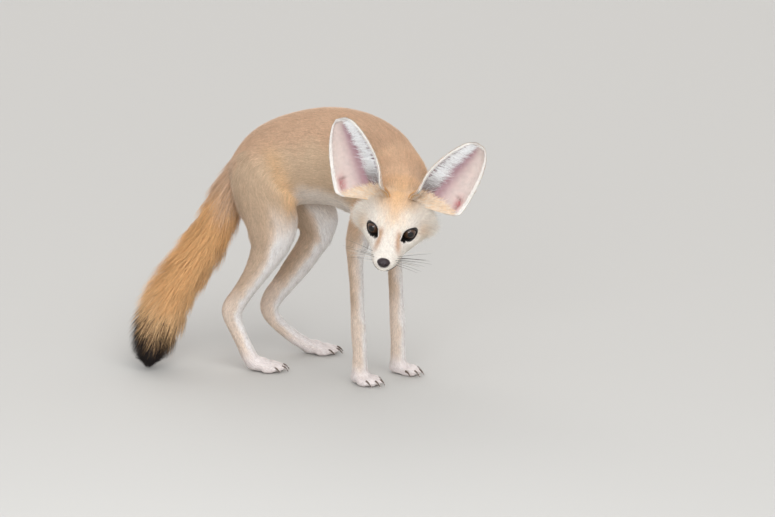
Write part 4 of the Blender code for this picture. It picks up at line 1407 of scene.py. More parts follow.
@dataclass
class TailBrush:
    """The long hair that lies along the tail, dark at the tip, and the core that it grows from.

    Attributes:
        stance: the turned frame.
        markings: the coat's colours.
        count: how many tufts.
        pieces: how many meshes they are split into, along the tail.
        length: the hair's usual length.
        width: a tuft's width.
        blunt: the length of the end over which the brush narrows.
        fluff: how far out the hair near the tip may reach, as a share of the brush's half width.
        lean: how far the hair near the tip falls towards the rear.
        sides: points round the core.
        steps: points along it.
        root_swell: how much thicker the core is at the rump.
        shape: how each tuft is drawn.
    """

    stance: Stance
    markings: Markings
    count: int = 22000
    pieces: int = 2
    length: float = 34.0
    width: float = 0.72
    blunt: float = 24.0
    fluff: float = 1.3
    lean: float = 4.5
    sides: int = 32
    steps: int = 120
    root_swell: float = 1.5
    shape: TuftShape = field(default_factory=lambda: TuftShape(
        segments=2, curl=0.08, clump=4.0, gather=0.3, root_shade=0.84, tip_shade=1.1, round_shade=0.5))

    # Read along the tail: how close the roots stand, and how long the hair is.
    CROWDING = ((0, 0.08, 0.3, 0.93, 1), (0.7, 0.8, 1, 1, 0.6))
    LENGTHS = ((0, 0.15, 1), (0.8, 0.95, 1))
    # How tufts vary: the range of their length, brightness and width, and of where past the tail's tip
    # the last of them may end.
    LENGTH_RANGE = (0.72, 1.15)
    BRIGHTNESS_RANGE = (0.8, 1.18)
    WIDTH_RANGE = (0.7, 1.3)
    END_RANGE = (-7.0, 6.0)
    # How far the dark tip's edge is drawn up at the sides, and how ragged it is, as shares of the tail.
    EDGE_RISE = 0.05
    EDGE_RAGGED = 0.03
    # How far short of the tip the last roots are, and how far past it the longest hair reaches.
    LAST_ROOT = 3.0
    PAST_TIP = 4.0
    # A hair reaches this share of its length along the tail, as the rest goes outwards.
    ALONG_SHARE = 0.92
    # The heading of the level way across the tail, in the turned frame.
    LEVEL_HEADING = math.radians(70)

    def line(self) -> tuple[np.ndarray, np.ndarray, np.ndarray]:
        """The middle line, half widths and run of the tail."""
        table = through(np.array(TAIL_ROWS, float), self.steps)
        middle = self.stance.out(table[:, :3])
        run = np.concatenate([[0], np.cumsum(np.linalg.norm(np.diff(middle, axis=0), axis=1))])
        return middle, table[:, 3], run

    def level(self) -> np.ndarray:
        """A level direction across the tail."""
        return self.stance.turned(np.array([math.cos(self.LEVEL_HEADING), math.sin(self.LEVEL_HEADING), 0.0]))

    def core(self) -> bpy.types.Object:
        """The core of the tail, for the skin to take in."""
        middle, outer, _ = self.line()
        thin = np.minimum(outer * CORE_SHARE, CORE_LIMIT)
        swollen = self.steps // 5
        thin[:swollen] *= np.linspace(self.root_swell, 1.0, swollen)
        return closed_tube("tail_core", rings_along(middle, self.level(), thin, thin, self.sides))

    def build(self, finish: Finish) -> None:
        """Makes the brush."""
        chance = np.random.default_rng(SEED + 1)
        tufts = self.tufts(*self.line(), self.level(), chance)
        order = np.argsort(tufts.unwrap[:, 0], kind="stable")
        for number, chosen in enumerate(np.array_split(order, self.pieces), 1):
            piece = self.shape.build(f"coat_tail_{number}", tufts.part(chosen), chance)
            join_fox(piece, finish.of("fur_coat"))

    def tufts(self, middle: np.ndarray, outer: np.ndarray, run: np.ndarray, side: np.ndarray,
              chance: np.random.Generator) -> TuftSet:
        """Roots hair round the core, leaning to the tip and out to the brush's outline.

        Args:
            middle: the tail's middle line.
            outer: half widths of the brush.
            run: distances along the line.
            side: a level direction across the tail.
            chance: the source of the random draws.

        Returns:
            The tufts.
        """
        total, count = run[-1], self.count
        share = np.linspace(0, 1, 200)
        crowd = np.cumsum(np.interp(share, *self.CROWDING))
        at = np.interp(chance.random(count), crowd / crowd[-1], share)
        length = self.length * chance.uniform(*self.LENGTH_RANGE, count) * np.interp(at, *self.LENGTHS)
        at = np.minimum(at * total, total - self.LAST_ROOT)
        length = np.minimum(length, total - at + chance.uniform(*self.END_RANGE, count))
        along, across, upright = frame_along(middle, side)
        angle = chance.uniform(0, 2 * math.pi, count)
        outward = (unit(self.read(across, run, at)) * np.cos(angle)[:, None]
                   + unit(self.read(upright, run, at)) * np.sin(angle)[:, None])
        core = np.minimum(np.interp(at, run, outer) * CORE_SHARE, CORE_LIMIT)
        roots = self.read(middle, run, at) + outward * core[:, None]
        end = np.minimum(at + length * self.ALONG_SHARE, total + self.PAST_TIP)
        reach = np.interp(np.minimum(end, total - self.blunt), run, outer)
        reach *= (chance.uniform(0.45, 1.0, count) ** 0.8
                  * np.interp(at, [0.3 * total, 0.8 * total], [1.06, self.fluff]))
        narrowing = [total - self.blunt, total - 0.4 * self.blunt, total + self.PAST_TIP]
        reach *= np.interp(end, narrowing, [1.0, 0.8, 0.1])
        reach *= 1 + 0.16 * ripple(roots, 13, 43)
        aside = self.stance.turned(np.array([-1.0, 0.0, 0.0])) * self.lean
        tips = (self.read(middle, run, end) + outward * reach[:, None]
                + aside * fade(0.45 * total, 0.85 * total, at)[:, None])
        tips += along[-1] * np.maximum(end - total, 0)[:, None]
        way = tips - roots
        lie = square_to(way, outward)
        flat = np.sum(way * lie, axis=-1)
        height = np.sum(way * outward, axis=-1)
        share = at / total
        edge = self.EDGE_RISE * np.abs(outward @ self.stance.turned(np.array([1.0, 0.0, 0.0])))
        ragged = share + edge + self.EDGE_RAGGED * chance.normal(size=count)
        colour = self.markings.of_tail(roots, ragged, outward[:, 2])
        colour = np.clip(colour * chance.uniform(*self.BRIGHTNESS_RANGE, (count, 1)), 0, 1)
        return TuftSet(roots - outward, outward, lie, flat, height + 1.0, 0 * flat,
                       self.width * chance.uniform(*self.WIDTH_RANGE, count), colour,
                       np.stack([share, angle / (2 * math.pi)], axis=-1), outward)

    @staticmethod
    def read(table: np.ndarray, run: np.ndarray, at: np.ndarray) -> np.ndarray:
        """Rows of a table read at distances along the tail."""
        return np.stack([np.interp(at, run, column) for column in table.T], axis=-1)


class Eye:
    """One eye: the ball with its iris, and the dark lids round it."""

    # The eye's radius, and the way it looks: out to the side and up.
    RADIUS = 7.6
    OUTWARD = math.radians(22)
    UPWARD = math.radians(5)
    # The lids' edge: its half sizes, slant, how pointed its corners are, how far its tear duct runs
    # in and drops, and how far the whole is lowered.
    HALF_OPENING = (6.7, 4.7)
    SLANT = 0.16
    POINTED = 1.25
    DUCT = 2.4
    DUCT_DROP = 0.9
    LOWER = 0.4
    # How much the edge is grown where the skin is hollowed, and how far within the ball it is drawn.
    PIT = 1.22
    PIT_DEPTH = 1.7
    # How much smaller the ball is than the eye, the radii of iris, pupil and cornea, and how far ahead
    # of the eye's middle the cornea's is.
    INSET = 0.25
    IRIS = 6.1
    PUPIL = 2.9
    CORNEA = 5.6
    CORNEA_SET = 3.0
    COLUMNS = 96
    # The lids' rows from the inner edge outwards: how far out each is, and how far it rolls forward.
    # Then how much larger the outer edge is than the inner, and how thick the lids are.
    LID_SHARE = (0, 0.03, 0.08, 0.16, 0.28, 0.42, 0.58, 0.76, 1.0)
    LID_ROLL = (-0.7, 0.2, 0.6, 0.85, 0.9, 0.7, 0.35, -0.1, -1.0)
    LID_GROW = 0.48
    LID_THICK = 0.8
    # Half sizes of the skin round the eye that the lids are fitted to, how far back it goes, and how
    # many of its vertices give the level of each place.
    GROUND = (18, 14, -2)
    GROUND_NEAREST = 8

    def __init__(self, side: int, head: HeadFrame) -> None:
        """Sets the eye's own frame: out to the side, forward and up."""
        self.side = side
        self.name = "eye_right" if side > 0 else "eye_left"
        forward = np.array([side * math.sin(self.OUTWARD) * math.cos(self.UPWARD),
                            math.cos(self.OUTWARD) * math.cos(self.UPWARD), math.sin(self.UPWARD)])
        outward = unit(np.cross(forward, [0, 0, 1.0])) * side
        up = np.cross(outward, forward) * side
        self.centre = head.out(np.array(HeadFrame.EYE_SET) * [side, 1, 1])
        self.axes = np.stack([outward, forward, up]) @ head.axes

    def out(self, points: np.ndarray) -> np.ndarray:
        """Brings places of the eye's frame into the part's frame."""
        return points @ self.axes + self.centre

    def almond(self, angle: np.ndarray, grow: float = 1.0) -> tuple[np.ndarray, np.ndarray]:
        """The edge of the lids, out and up: an ellipse with sharp corners and a tear duct inwards."""
        wide = np.cos(angle) * self.HALF_OPENING[0]
        high = np.sign(np.sin(angle)) * np.abs(np.sin(angle)) ** self.POINTED * self.HALF_OPENING[1]
        duct = np.clip(-np.cos(angle), 0, 1) ** 6
        wide = wide - duct * self.DUCT
        high = high + wide * self.SLANT - duct * self.DUCT_DROP - self.LOWER
        return wide * grow, high * grow

    def spread_of(self, places: np.ndarray) -> tuple[np.ndarray, np.ndarray]:
        """How far out places are, as a share of the lids' edge, and which are in front of the middle."""
        out, ahead, up = ((places - self.centre) @ self.axes.T).T
        angle = np.arctan2((up - out * self.SLANT) / self.HALF_OPENING[1], out / self.HALF_OPENING[0])
        wide, high = self.almond(angle)
        return np.hypot(out, up) / np.hypot(wide, high), ahead > 0

    def covers(self, places: np.ndarray, grow: float) -> np.ndarray:
        """Which places lie within the lids' edge, made larger, and in front of the eye's middle."""
        spread, front = self.spread_of(places)
        return (spread < grow) & front

    def hollow(self, places: np.ndarray) -> np.ndarray:
        """Draws the skin straight back behind the ball within the lids."""
        local = (places - self.centre) @ self.axes.T
        inside = self.covers(places, self.PIT)
        room = (self.RADIUS - self.PIT_DEPTH) ** 2 - local[:, 0] ** 2 - local[:, 2] ** 2
        behind = np.sqrt(np.maximum(room, 0.0))
        local[:, 1] = np.where(inside, np.minimum(local[:, 1], behind), local[:, 1])
        return self.out(local)

    def ground(self, skin: np.ndarray, wide: np.ndarray, high: np.ndarray) -> np.ndarray:
        """How far ahead the skin is at places out and up: the mean of the nearest vertices."""
        local = (skin - self.centre) @ self.axes.T
        wide_limit, high_limit, back_limit = self.GROUND
        local = local[(np.abs(local[:, 0]) < wide_limit) & (np.abs(local[:, 2]) < high_limit)
                      & (local[:, 1] > back_limit)]
        gap = np.hypot(wide[..., None] - local[:, 0], high[..., None] - local[:, 2])
        nearest = np.argsort(gap, axis=-1)[..., :self.GROUND_NEAREST]
        return local[nearest, 1].mean(axis=-1)

    def ball(self) -> bpy.types.Object:
        """The eyeball, with the cornea raised and the iris painted round the pupil."""
        tilt, angle = ball_grid(72, self.COLUMNS)
        radius = self.RADIUS - self.INSET
        off = radius * np.sin(tilt)
        cap = self.CORNEA_SET + np.sqrt(np.maximum(self.CORNEA**2 - off**2, 0))
        white = radius * np.cos(tilt)
        ahead = np.where((tilt < math.pi / 2) & (off < self.CORNEA), np.maximum(white, cap), white)
        ring = np.stack([off * np.cos(angle), ahead + 0 * angle, off * np.sin(angle)], axis=-1)
        piece = closed_tube(self.name + "_ball", self.out(ring))
        places = (vertex_places(piece.data) - self.centre) @ self.axes.T
        off = np.hypot(places[:, 0], places[:, 2])
        spoke = np.arctan2(places[:, 2], places[:, 0])
        streaks = 1 + 0.18 * np.sin(spoke * 31 + 2 * np.sin(spoke * 7)) * fade(2.5, 4.5, off)
        colour = linear(PALETTE.iris) * streaks[:, None] * (1 - 0.45 * fade(4.2, 6.2, off))[:, None]
        pupil = fade(self.PUPIL + 0.35, self.PUPIL - 0.25, off)
        outside = fade(self.IRIS - 0.2, self.IRIS + 0.5, off) + (places[:, 1] < 0)
        paint(piece, lay(colour, (PALETTE.pupil, pupil), (PALETTE.lid, outside)))
        return piece

    def lids(self, skin: np.ndarray) -> bpy.types.Object:
        """The lids: a band that rolls out of the opening over the ball and sinks into the face.

        Its rows go from the inner edge outwards. A row's out and up are the almond's, grown by its share.
        Its forward passes from the ball's, sqrt(R^2 - out^2 - up^2), to the skin's by a smooth step, plus
        a roll that is highest near the edge.

        Args:
            skin: the skin's vertices before it was hollowed.

        Returns:
            The lids.
        """
        share = np.array(self.LID_SHARE)
        angle = np.linspace(0, 2 * math.pi, self.COLUMNS, endpoint=False)
        rings = []
        for part, raised in zip(share, self.LID_ROLL):
            wide, high = self.almond(angle, 1 + self.LID_GROW * part)
            ball = np.sqrt(np.maximum(self.RADIUS**2 - wide**2 - high**2, (0.3 * self.RADIUS) ** 2))
            face = self.ground(skin, wide, high)
            ahead = ball + (face - ball) * fade(0.0, 0.7, np.array(part)) + raised
            rings.append(np.stack([wide, ahead, high], axis=-1))
        rings = np.array(rings)
        inner = rings * np.array([0.995, 1.0, 0.995]) - np.array([0, self.LID_THICK, 0])
        loop = np.concatenate([rings, inner[::-1]], axis=0)
        quads = grid_faces(len(loop), self.COLUMNS, True)
        seam = np.arange(self.COLUMNS)
        after = (seam + 1) % self.COLUMNS
        last = (len(loop) - 1) * self.COLUMNS
        join = np.stack([last + seam, last + after, after, seam], axis=-1)
        piece = new_piece(self.name + "_lids", self.out(loop.reshape(-1, 3)), np.vstack([quads, join]))
        point_outwards(piece)
        rim = fade(0.8, 0.6, np.concatenate([share, share[::-1]]))
        colour = lay(linear(PALETTE.face) * 0.8, (PALETTE.lid, rim))
        paint(piece, np.repeat(colour, self.COLUMNS, axis=0))
        return piece

    def build(self, skin: np.ndarray, finish: Finish) -> None:
        """Makes the ball and the lids."""
        ball = join_fox(self.ball(), finish.of("eye"))
        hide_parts(self.name)
        join_fox(self.lids(skin), finish.of("moist_skin"))


class Nose:
    """The nose pad with its nostrils and the groove down its middle."""

    RADII = (5.7, 4.5, 4.7)

    def build(self, head: HeadFrame, finish: Finish) -> None:
        """Makes the pad as an ellipsoid dented where the nostrils and the groove are.

        The dents are bells on the pad's front: two round ones for the nostrils, two that run out and back
        for their slits, and a narrow one down the middle. Each is painted darker the deeper it is, as
        painted shade.
        """
        tilt, angle = ball_grid(90, 120)
        ball = np.stack([np.sin(tilt) * np.cos(angle), np.cos(tilt) + 0 * angle,
                         np.sin(tilt) * np.sin(angle)], axis=-1)
        x, ahead, up = ball[..., 0], ball[..., 1], ball[..., 2]
        squared = 1 + 0.07 * np.cos(2 * np.arctan2(up, x)) - 0.05 * (up < 0) * np.abs(up)
        side = np.abs(x)
        front = fade(0.0, 0.4, ahead)
        nostril = np.exp(-(((side - 0.46) / 0.17) ** 2 + ((up + 0.08) / 0.16) ** 2))
        slit = np.exp(-(((side - 0.74) / 0.22) ** 2 + ((up + 0.02 + 0.35 * (side - 0.46)) / 0.07) ** 2))
        groove = hill(x, 0, 0.045) * fade(0.1, -0.25, up)
        dent = front * (0.36 * nostril + 0.2 * slit + 0.09 * groove)
        pad = ball * (squared * (1 - dent))[..., None] * np.array(self.RADII)
        pad[..., 0] *= 1 - 0.3 * fade(0.25, -0.95, up)
        piece = closed_tube("nose_pad", head.out(pad + np.array(HeadFrame.NOSE_SET)))
        # Painted shade: the nostrils, their slits and the middle groove darken as they deepen, to 15 percent
        # of the nose's colour.
        depth = np.concatenate([dent.ravel(), [0, 0]])
        paint(piece, linear(PALETTE.nose) * (1 - 0.85 * fade(0.05, 0.25, depth))[:, None])
        join_fox(piece, finish.of("moist_skin"))
        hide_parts("nose")


@dataclass(frozen=True)
class EarHair:
    """A patch of hair on an ear.

    Attributes:
        count: how many tufts.
        along: the lowest and highest share up the ear of the roots.
        across: their range over the cup, from -1 by the crown to 1 outside.
        climb: how much of a hair's way goes up the ear.
        slide: how much of it goes across, towards the outer edge.
        length: its length.
        width: its width.
        stand: how far its tip stands off the ear.
        colour: its colour.
        inner: whether it grows in the cup.
        dark_root: below this share up the ear some hairs are darkened by painted shade, the folds' colour.
        second: a colour that it is mixed with at random, if any.
    """

    count: int
    along: tuple
    across: tuple
    climb: float
    slide: float
    length: float
    width: float
    stand: float
    colour: tuple
    inner: bool = True
    dark_root: float = 0.0
    second: tuple | None = None


LONG_EAR_HAIR = (
    EarHair(420, (0.36, 0.92), (-0.84, -0.6), 0.1, 1.0, 17.0, 0.42, 2.2, PALETTE.ear_hair, dark_root=0.46),
    EarHair(380, (0.34, 0.88), (-0.64, -0.4), 0.1, 1.0, 12.0, 0.4, 1.6, PALETTE.ear_hair, dark_root=0.46),
    EarHair(380, (0.24, 0.4), (-0.75, -0.2), 0.8, 0.6, 9.0, 0.42, 1.6, PALETTE.ear_hair, dark_root=0.42),
    EarHair(2200, (-0.02, 0.2), (-0.2, 1.0), 0.95, 0.0, 7.5, 0.42, 2.4, PALETTE.ear_base,
            second=PALETTE.face),
    EarHair(1400, (-0.02, 0.2), (-1.0, 0.0), 0.95, 0.1, 7.5, 0.4, 2.4, PALETTE.forehead, second=PALETTE.face),
)
SHORT_EAR_HAIR = (
    EarHair(1900, (0.14, 0.99), (-1.0, -0.92), 0.75, 0.25, 3.4, 0.45, 0.9, PALETTE.ear_rim),
    EarHair(900, (-0.08, 0.16), (-1.0, -0.75), 0.9, 0.1, 5.5, 0.45, 1.6, PALETTE.forehead),
    EarHair(900, (-0.08, 0.16), (-1.0, -0.6), 0.9, 0.1, 5.5, 0.45, 2.0, PALETTE.forehead, inner=False),
    EarHair(500, (0.14, 0.99), (-1.0, -0.86), 0.9, 0.0, 4.0, 0.5, 1.0, PALETTE.ear_rim, inner=False),
    EarHair(500, (0.14, 0.99), (0.86, 1.0), 0.9, 0.0, 4.0, 0.5, 1.0, PALETTE.ear_rim, inner=False),
    EarHair(2300, (-0.02, 0.99), (0.92, 1.0), 0.75, -0.25, 3.4, 0.45, 0.9, PALETTE.ear_rim),
    EarHair(1000, (0.93, 1.0), (-1.0, 1.0), 0.9, 0.0, 2.4, 0.4, 0.4, PALETTE.ear_rim),
    EarHair(1500, (0.2, 0.97), (0.25, 0.9), 0.7, -0.2, 3.0, 0.3, 0.3, PALETTE.ear_skin),
    EarHair(9000, (0.05, 1.0), (-1.0, 1.0), 0.9, 0.0, 4.5, 0.55, 0.9, PALETTE.ear_back, inner=False,
            second=PALETTE.back),
)


@dataclass
class Ear:
    """One ear: a thin cup with a soft rim, folds near its root and long pale hair across it.

    Attributes:
        side: 1 for the right ear, -1 for the left.
        root: where it springs from the head, in the head's frame.
        spread: how far it leans out, in degrees.
        length: from root to tip.
        lean: how far it leans back, in degrees.
        turn: how far the cup turns outwards, in degrees.
        thick: how thick its wall is.
        columns: points over the cup.
        rows: points up it.
    """

    side: int
    root: tuple
    spread: float
    length: float
    lean: float = 14.0
    turn: float = 14.0
    thick: float = 1.5
    columns: int = 61
    rows: int = 90

    # How hairs vary: the range of their length, stand, brightness and width, and how far each strays.
    LENGTH_RANGE = (0.6, 1.25)
    STAND_RANGE = (0.5, 1.3)
    BRIGHTNESS_RANGE = (0.8, 1.08)
    WIDTH_RANGE = (0.7, 1.2)
    STRAY = 0.12
    # The run of the profile, in lengths of the ear, and the half arc of the cup, in millimetres.
    RUN = 1.18
    HALF_ARC = 30.0
    # How far the root is drawn back into the head, and how many rows its profile is read as.
    SINK = 7.0
    PROFILE_ROWS = 200

    # The ear from root to tip: share of the length, outward shift, half width, half angle of the cup.
    PROFILE = (
        (-0.18, -12.0, 11.0, 110), (-0.09, -8.5, 17.0, 104), (0.0, -5.0, 21.5, 94), (0.1, -3.4, 24.2, 82),
        (0.24, -3.0, 25.4, 70), (0.4, -2.4, 24.8, 60), (0.56, -1.4, 22.6, 53), (0.71, -0.5, 19.2, 46),
        (0.84, 0.0, 15.0, 40), (0.93, 0.0, 10.8, 34), (1.0, 0.0, 4.8, 28),
    )

    def axes(self) -> tuple[np.ndarray, np.ndarray, np.ndarray]:
        """The ear's own way up, way out to the side and way that its cup faces, in the head's frame."""
        spread, lean, turn = (math.radians(a) for a in (self.spread, self.lean, self.turn))
        axis = np.array([self.side * math.sin(spread), -math.cos(spread) * math.sin(lean),
                         math.cos(spread) * math.cos(lean)])
        ahead = unit(np.array([0, 1.0, 0]) - axis[1] * axis)
        aside = self.side * np.cross(ahead, axis)
        facing = ahead * math.cos(turn) + aside * math.sin(turn)
        return axis, aside * math.cos(turn) - ahead * math.sin(turn), facing

    def surface(self, along: np.ndarray, across: np.ndarray,
                inside: np.ndarray) -> tuple[np.ndarray, np.ndarray]:
        """Places on the ear and the way into its cup.

        At a share along the ear the cup is an arc of half angle a and radius half width / sin a, and
        across runs over the arc from -1, next to the crown, to 1, at the outer edge.

        Args:
            along: from 0 at the root to 1 at the tip.
            across: from -1 to 1.
            inside: how far into the cup from the back, in millimetres.

        Returns:
            Places in the head's frame, and directions there.
        """
        axis, out, facing = self.axes()
        across = across * np.interp(along, [0.0, 0.12, 0.28], [0.5, 0.66, 1.0])
        table = through(np.array(self.PROFILE, float), self.PROFILE_ROWS)
        levels = np.linspace(0, 1, self.PROFILE_ROWS)
        share, shift, half, cup = (np.interp(along, levels, column) for column in table.T)
        cup = np.radians(cup)
        bend = cup * across
        radius = half / np.sin(np.minimum(cup, math.pi / 2))
        sideways = radius * np.sin(bend) + shift
        forward = radius * (1 - np.cos(bend) - 0.35) - self.SINK * fade(0.24, 0.0, along)
        back = (np.array(self.root) + (share * self.length)[..., None] * axis
                + sideways[..., None] * out + forward[..., None] * facing)
        into = np.cos(bend)[..., None] * facing - np.sin(bend)[..., None] * out
        return back + into * inside[..., None], into

    def folds(self, along: np.ndarray, across: np.ndarray) -> np.ndarray:
        """How far the inside stands up: a long ridge beside the crown, three short ones at the root."""
        ridge = 0.9 * hill(across, -0.62, 0.1) * fade(0.72, 0.5, along) * fade(0.12, 0.25, along)
        short = sum(1.1 * hill(across, c, 0.055) * fade(0.5 - 0.06 * k, 0.3, along) * fade(0.12, 0.2, along)
                    for k, c in enumerate((-0.42, -0.2, 0.04)))
        lobe = 1.8 * hill(across, 0.86, 0.08) * hill(along, 0.3, 0.07)
        pocket = -0.9 * hill(across, 0.73, 0.07) * hill(along, 0.33, 0.05)
        return ridge + short + lobe + pocket

    def colours(self, along: np.ndarray, across: np.ndarray, inner: np.ndarray) -> np.ndarray:
        """Pink within, with painted shade down the furrow, under the long hair, low by the crown and in dark
        lines beside the folds; white at the rim and tan behind.
        """
        a, c = along.ravel(), across.ravel()
        # Painted shade: dark lines beside the short folds near the root and above the pocket.
        groove_shade = sum(hill(c, k, 0.05) for k in (-0.52, -0.31, -0.08)) * fade(0.46, 0.28, a)
        pocket = hill(c, 0.72, 0.11) * hill(a, 0.34, 0.065)
        crease_shade = hill(c, 0.66 + 0.6 * (a - 0.37), 0.12) * hill(a, 0.385, 0.012)
        rim = np.maximum(fade(0.9, 0.98, np.abs(c)) * fade(0.18, 0.3, a), fade(0.955, 0.99, a))
        # The darker layers over the pink skin are painted shade: the furrow, under the long hair, low by the
        # crown and beside the folds.
        skin = lay(linear(PALETTE.ear_skin),
                   (PALETTE.ear_furrow, 0.9 * hill(c, -0.02, 0.32) * fade(0.99, 0.8, a)),
                   (PALETTE.ear_under, fade(-0.1, -0.3, c) * fade(0.97, 0.85, a)),
                   (PALETTE.ear_fold, 0.8 * fade(-0.15, -0.4, c) * fade(0.42, 0.24, a)),
                   (PALETTE.ear_fold, 0.6 * groove_shade), (PALETTE.ear_pocket, 1.1 * pocket),
                   (PALETTE.ear_fold, 0.7 * crease_shade), (PALETTE.ear_base, fade(0.24, 0.17, a)),
                   (PALETTE.forehead, fade(0.2, 0.12, a) * fade(-0.3, -0.7, c)), (PALETTE.ear_rim, rim))
        back = lay(linear(PALETTE.ear_back), (PALETTE.ear_rim, 0.7 * fade(0.82, 0.96, np.abs(c))))
        return np.where(inner.ravel()[:, None], skin, back)

    def shell(self, head: HeadFrame) -> bpy.types.Object:
        """The thin cup itself: its back, round its rim and its folded inside, as rings up the ear."""
        along = np.linspace(0, 1, self.rows)[:, None]
        half = self.columns
        across = np.concatenate([np.linspace(-1, 1, half), np.linspace(1, -1, half)])[None]
        inner = np.concatenate([np.zeros(half), np.ones(half)])[None] + 0 * along
        along, across = np.broadcast_arrays(along, across)
        thin = np.clip((1.02 - along) * 8, 0.3, 1) * (0.55 + 0.45 * np.sqrt(np.clip(1 - across**2, 0, 1)))
        inside = inner * (self.thick * thin + self.folds(along, across))
        places, _ = self.surface(along, across, inside)
        piece = closed_tube(self.name, head.out(places))
        colour = self.colours(along, across, inner > 0.5)
        paint(piece, np.vstack([colour, linear(PALETTE.face)[None], linear(PALETTE.ear_rim)[None]]))
        return piece

    @property
    def name(self) -> str:
        """The ear's node name."""
        return "ear_right" if self.side > 0 else "ear_left"

    def hairs(self, head: HeadFrame, chance: np.random.Generator, plan: EarHair) -> TuftSet:
        """Hair that follows the cup from its roots.

        A hair's far end is read on the same surface a little up and across from its root, so the hair's
        lie and height are those of the chord between them.

        Args:
            head: the head's frame.
            chance: the source of the random draws.
            plan: where the roots are and which way the hair goes.

        Returns:
            The tufts, in the part's frame.
        """
        count = plan.count
        along = chance.uniform(*plan.along, count)
        across = chance.uniform(*plan.across, count)
        level = np.full(count, self.thick * 0.8 if plan.inner else 0.0)
        root, into = self.surface(along, across, level)
        reach = plan.length * chance.uniform(*self.LENGTH_RANGE, count)
        climb = plan.climb + chance.normal(0, self.STRAY, count)
        slide = plan.slide + chance.normal(0, self.STRAY, count)
        end_along = np.clip(along + climb * reach / (self.length * self.RUN), 0, 1.03)
        end_across = across + slide * reach / self.HALF_ARC
        tip, _ = self.surface(end_along, end_across, level)
        rise = into if plan.inner else -into
        tip = tip + rise * (plan.stand * chance.uniform(*self.STAND_RANGE, count))[:, None]
        root, tip, rise = head.out(root), head.out(tip), rise @ head.axes
        way = tip - root
        lie = square_to(way, rise)
        blend = chance.random((count, 1)) * (plan.second is not None)
        colour = linear(plan.colour) * (1 - blend) + linear(plan.second or plan.colour) * blend
        colour = colour * chance.uniform(*self.BRIGHTNESS_RANGE, (count, 1))
        # Painted shade: hairs rooted low in the cup are darkened at random with the folds' shade colour.
        if plan.dark_root > 0:
            dark = fade(plan.dark_root, plan.dark_root - 0.14, along) * chance.uniform(0.2, 1, count)
            colour = lay(colour, (PALETTE.ear_fold, dark))
        flat = np.sum(way * lie, axis=-1)
        lit = unit(0.5 * rise + self.axes()[2] @ head.axes + [0, 0, 0.9]) if plan.inner else rise
        return TuftSet(root, rise, lie, flat, np.sum(way * rise, axis=-1), 0 * flat,
                       plan.width * chance.uniform(*self.WIDTH_RANGE, count), np.clip(colour, 0, 1),
                       np.stack([along, across * 0.5 + 0.5], axis=-1), lit)

    def build(self, head: HeadFrame, finish: Finish) -> None:
        """Makes the cup and its hair."""
        shell = join_fox(self.shell(head), finish.of("ear_skin"))
        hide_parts(self.name)
        chance = np.random.default_rng(SEED + 10 + self.side)
        long = TuftShape(segments=2, curl=0.05, clump=2.4, gather=0.75, root_shade=1.0, tip_shade=1.1)
        short = TuftShape(segments=1, curl=0.06, clump=1.6, gather=0.3, root_shade=0.9, tip_shade=1.05)
        for name, plans, shape in (("fringe_", LONG_EAR_HAIR, long), ("coat_", SHORT_EAR_HAIR, short)):
            parts = [self.hairs(head, chance, plan) for plan in plans]
            whole = TuftSet(*(np.concatenate([getattr(p, column) for p in parts])
                              for column in TuftSet.__dataclass_fields__))
            join_fox(shape.build(name + self.name, whole, chance), finish.of("fur_coat"))


EARS = (
    Ear(1, (32.8, -28.0, 22.0), 25.5, 70.0),
    Ear(-1, (-35.8, -28.0, 21.8), 29.3, 67.5),
)


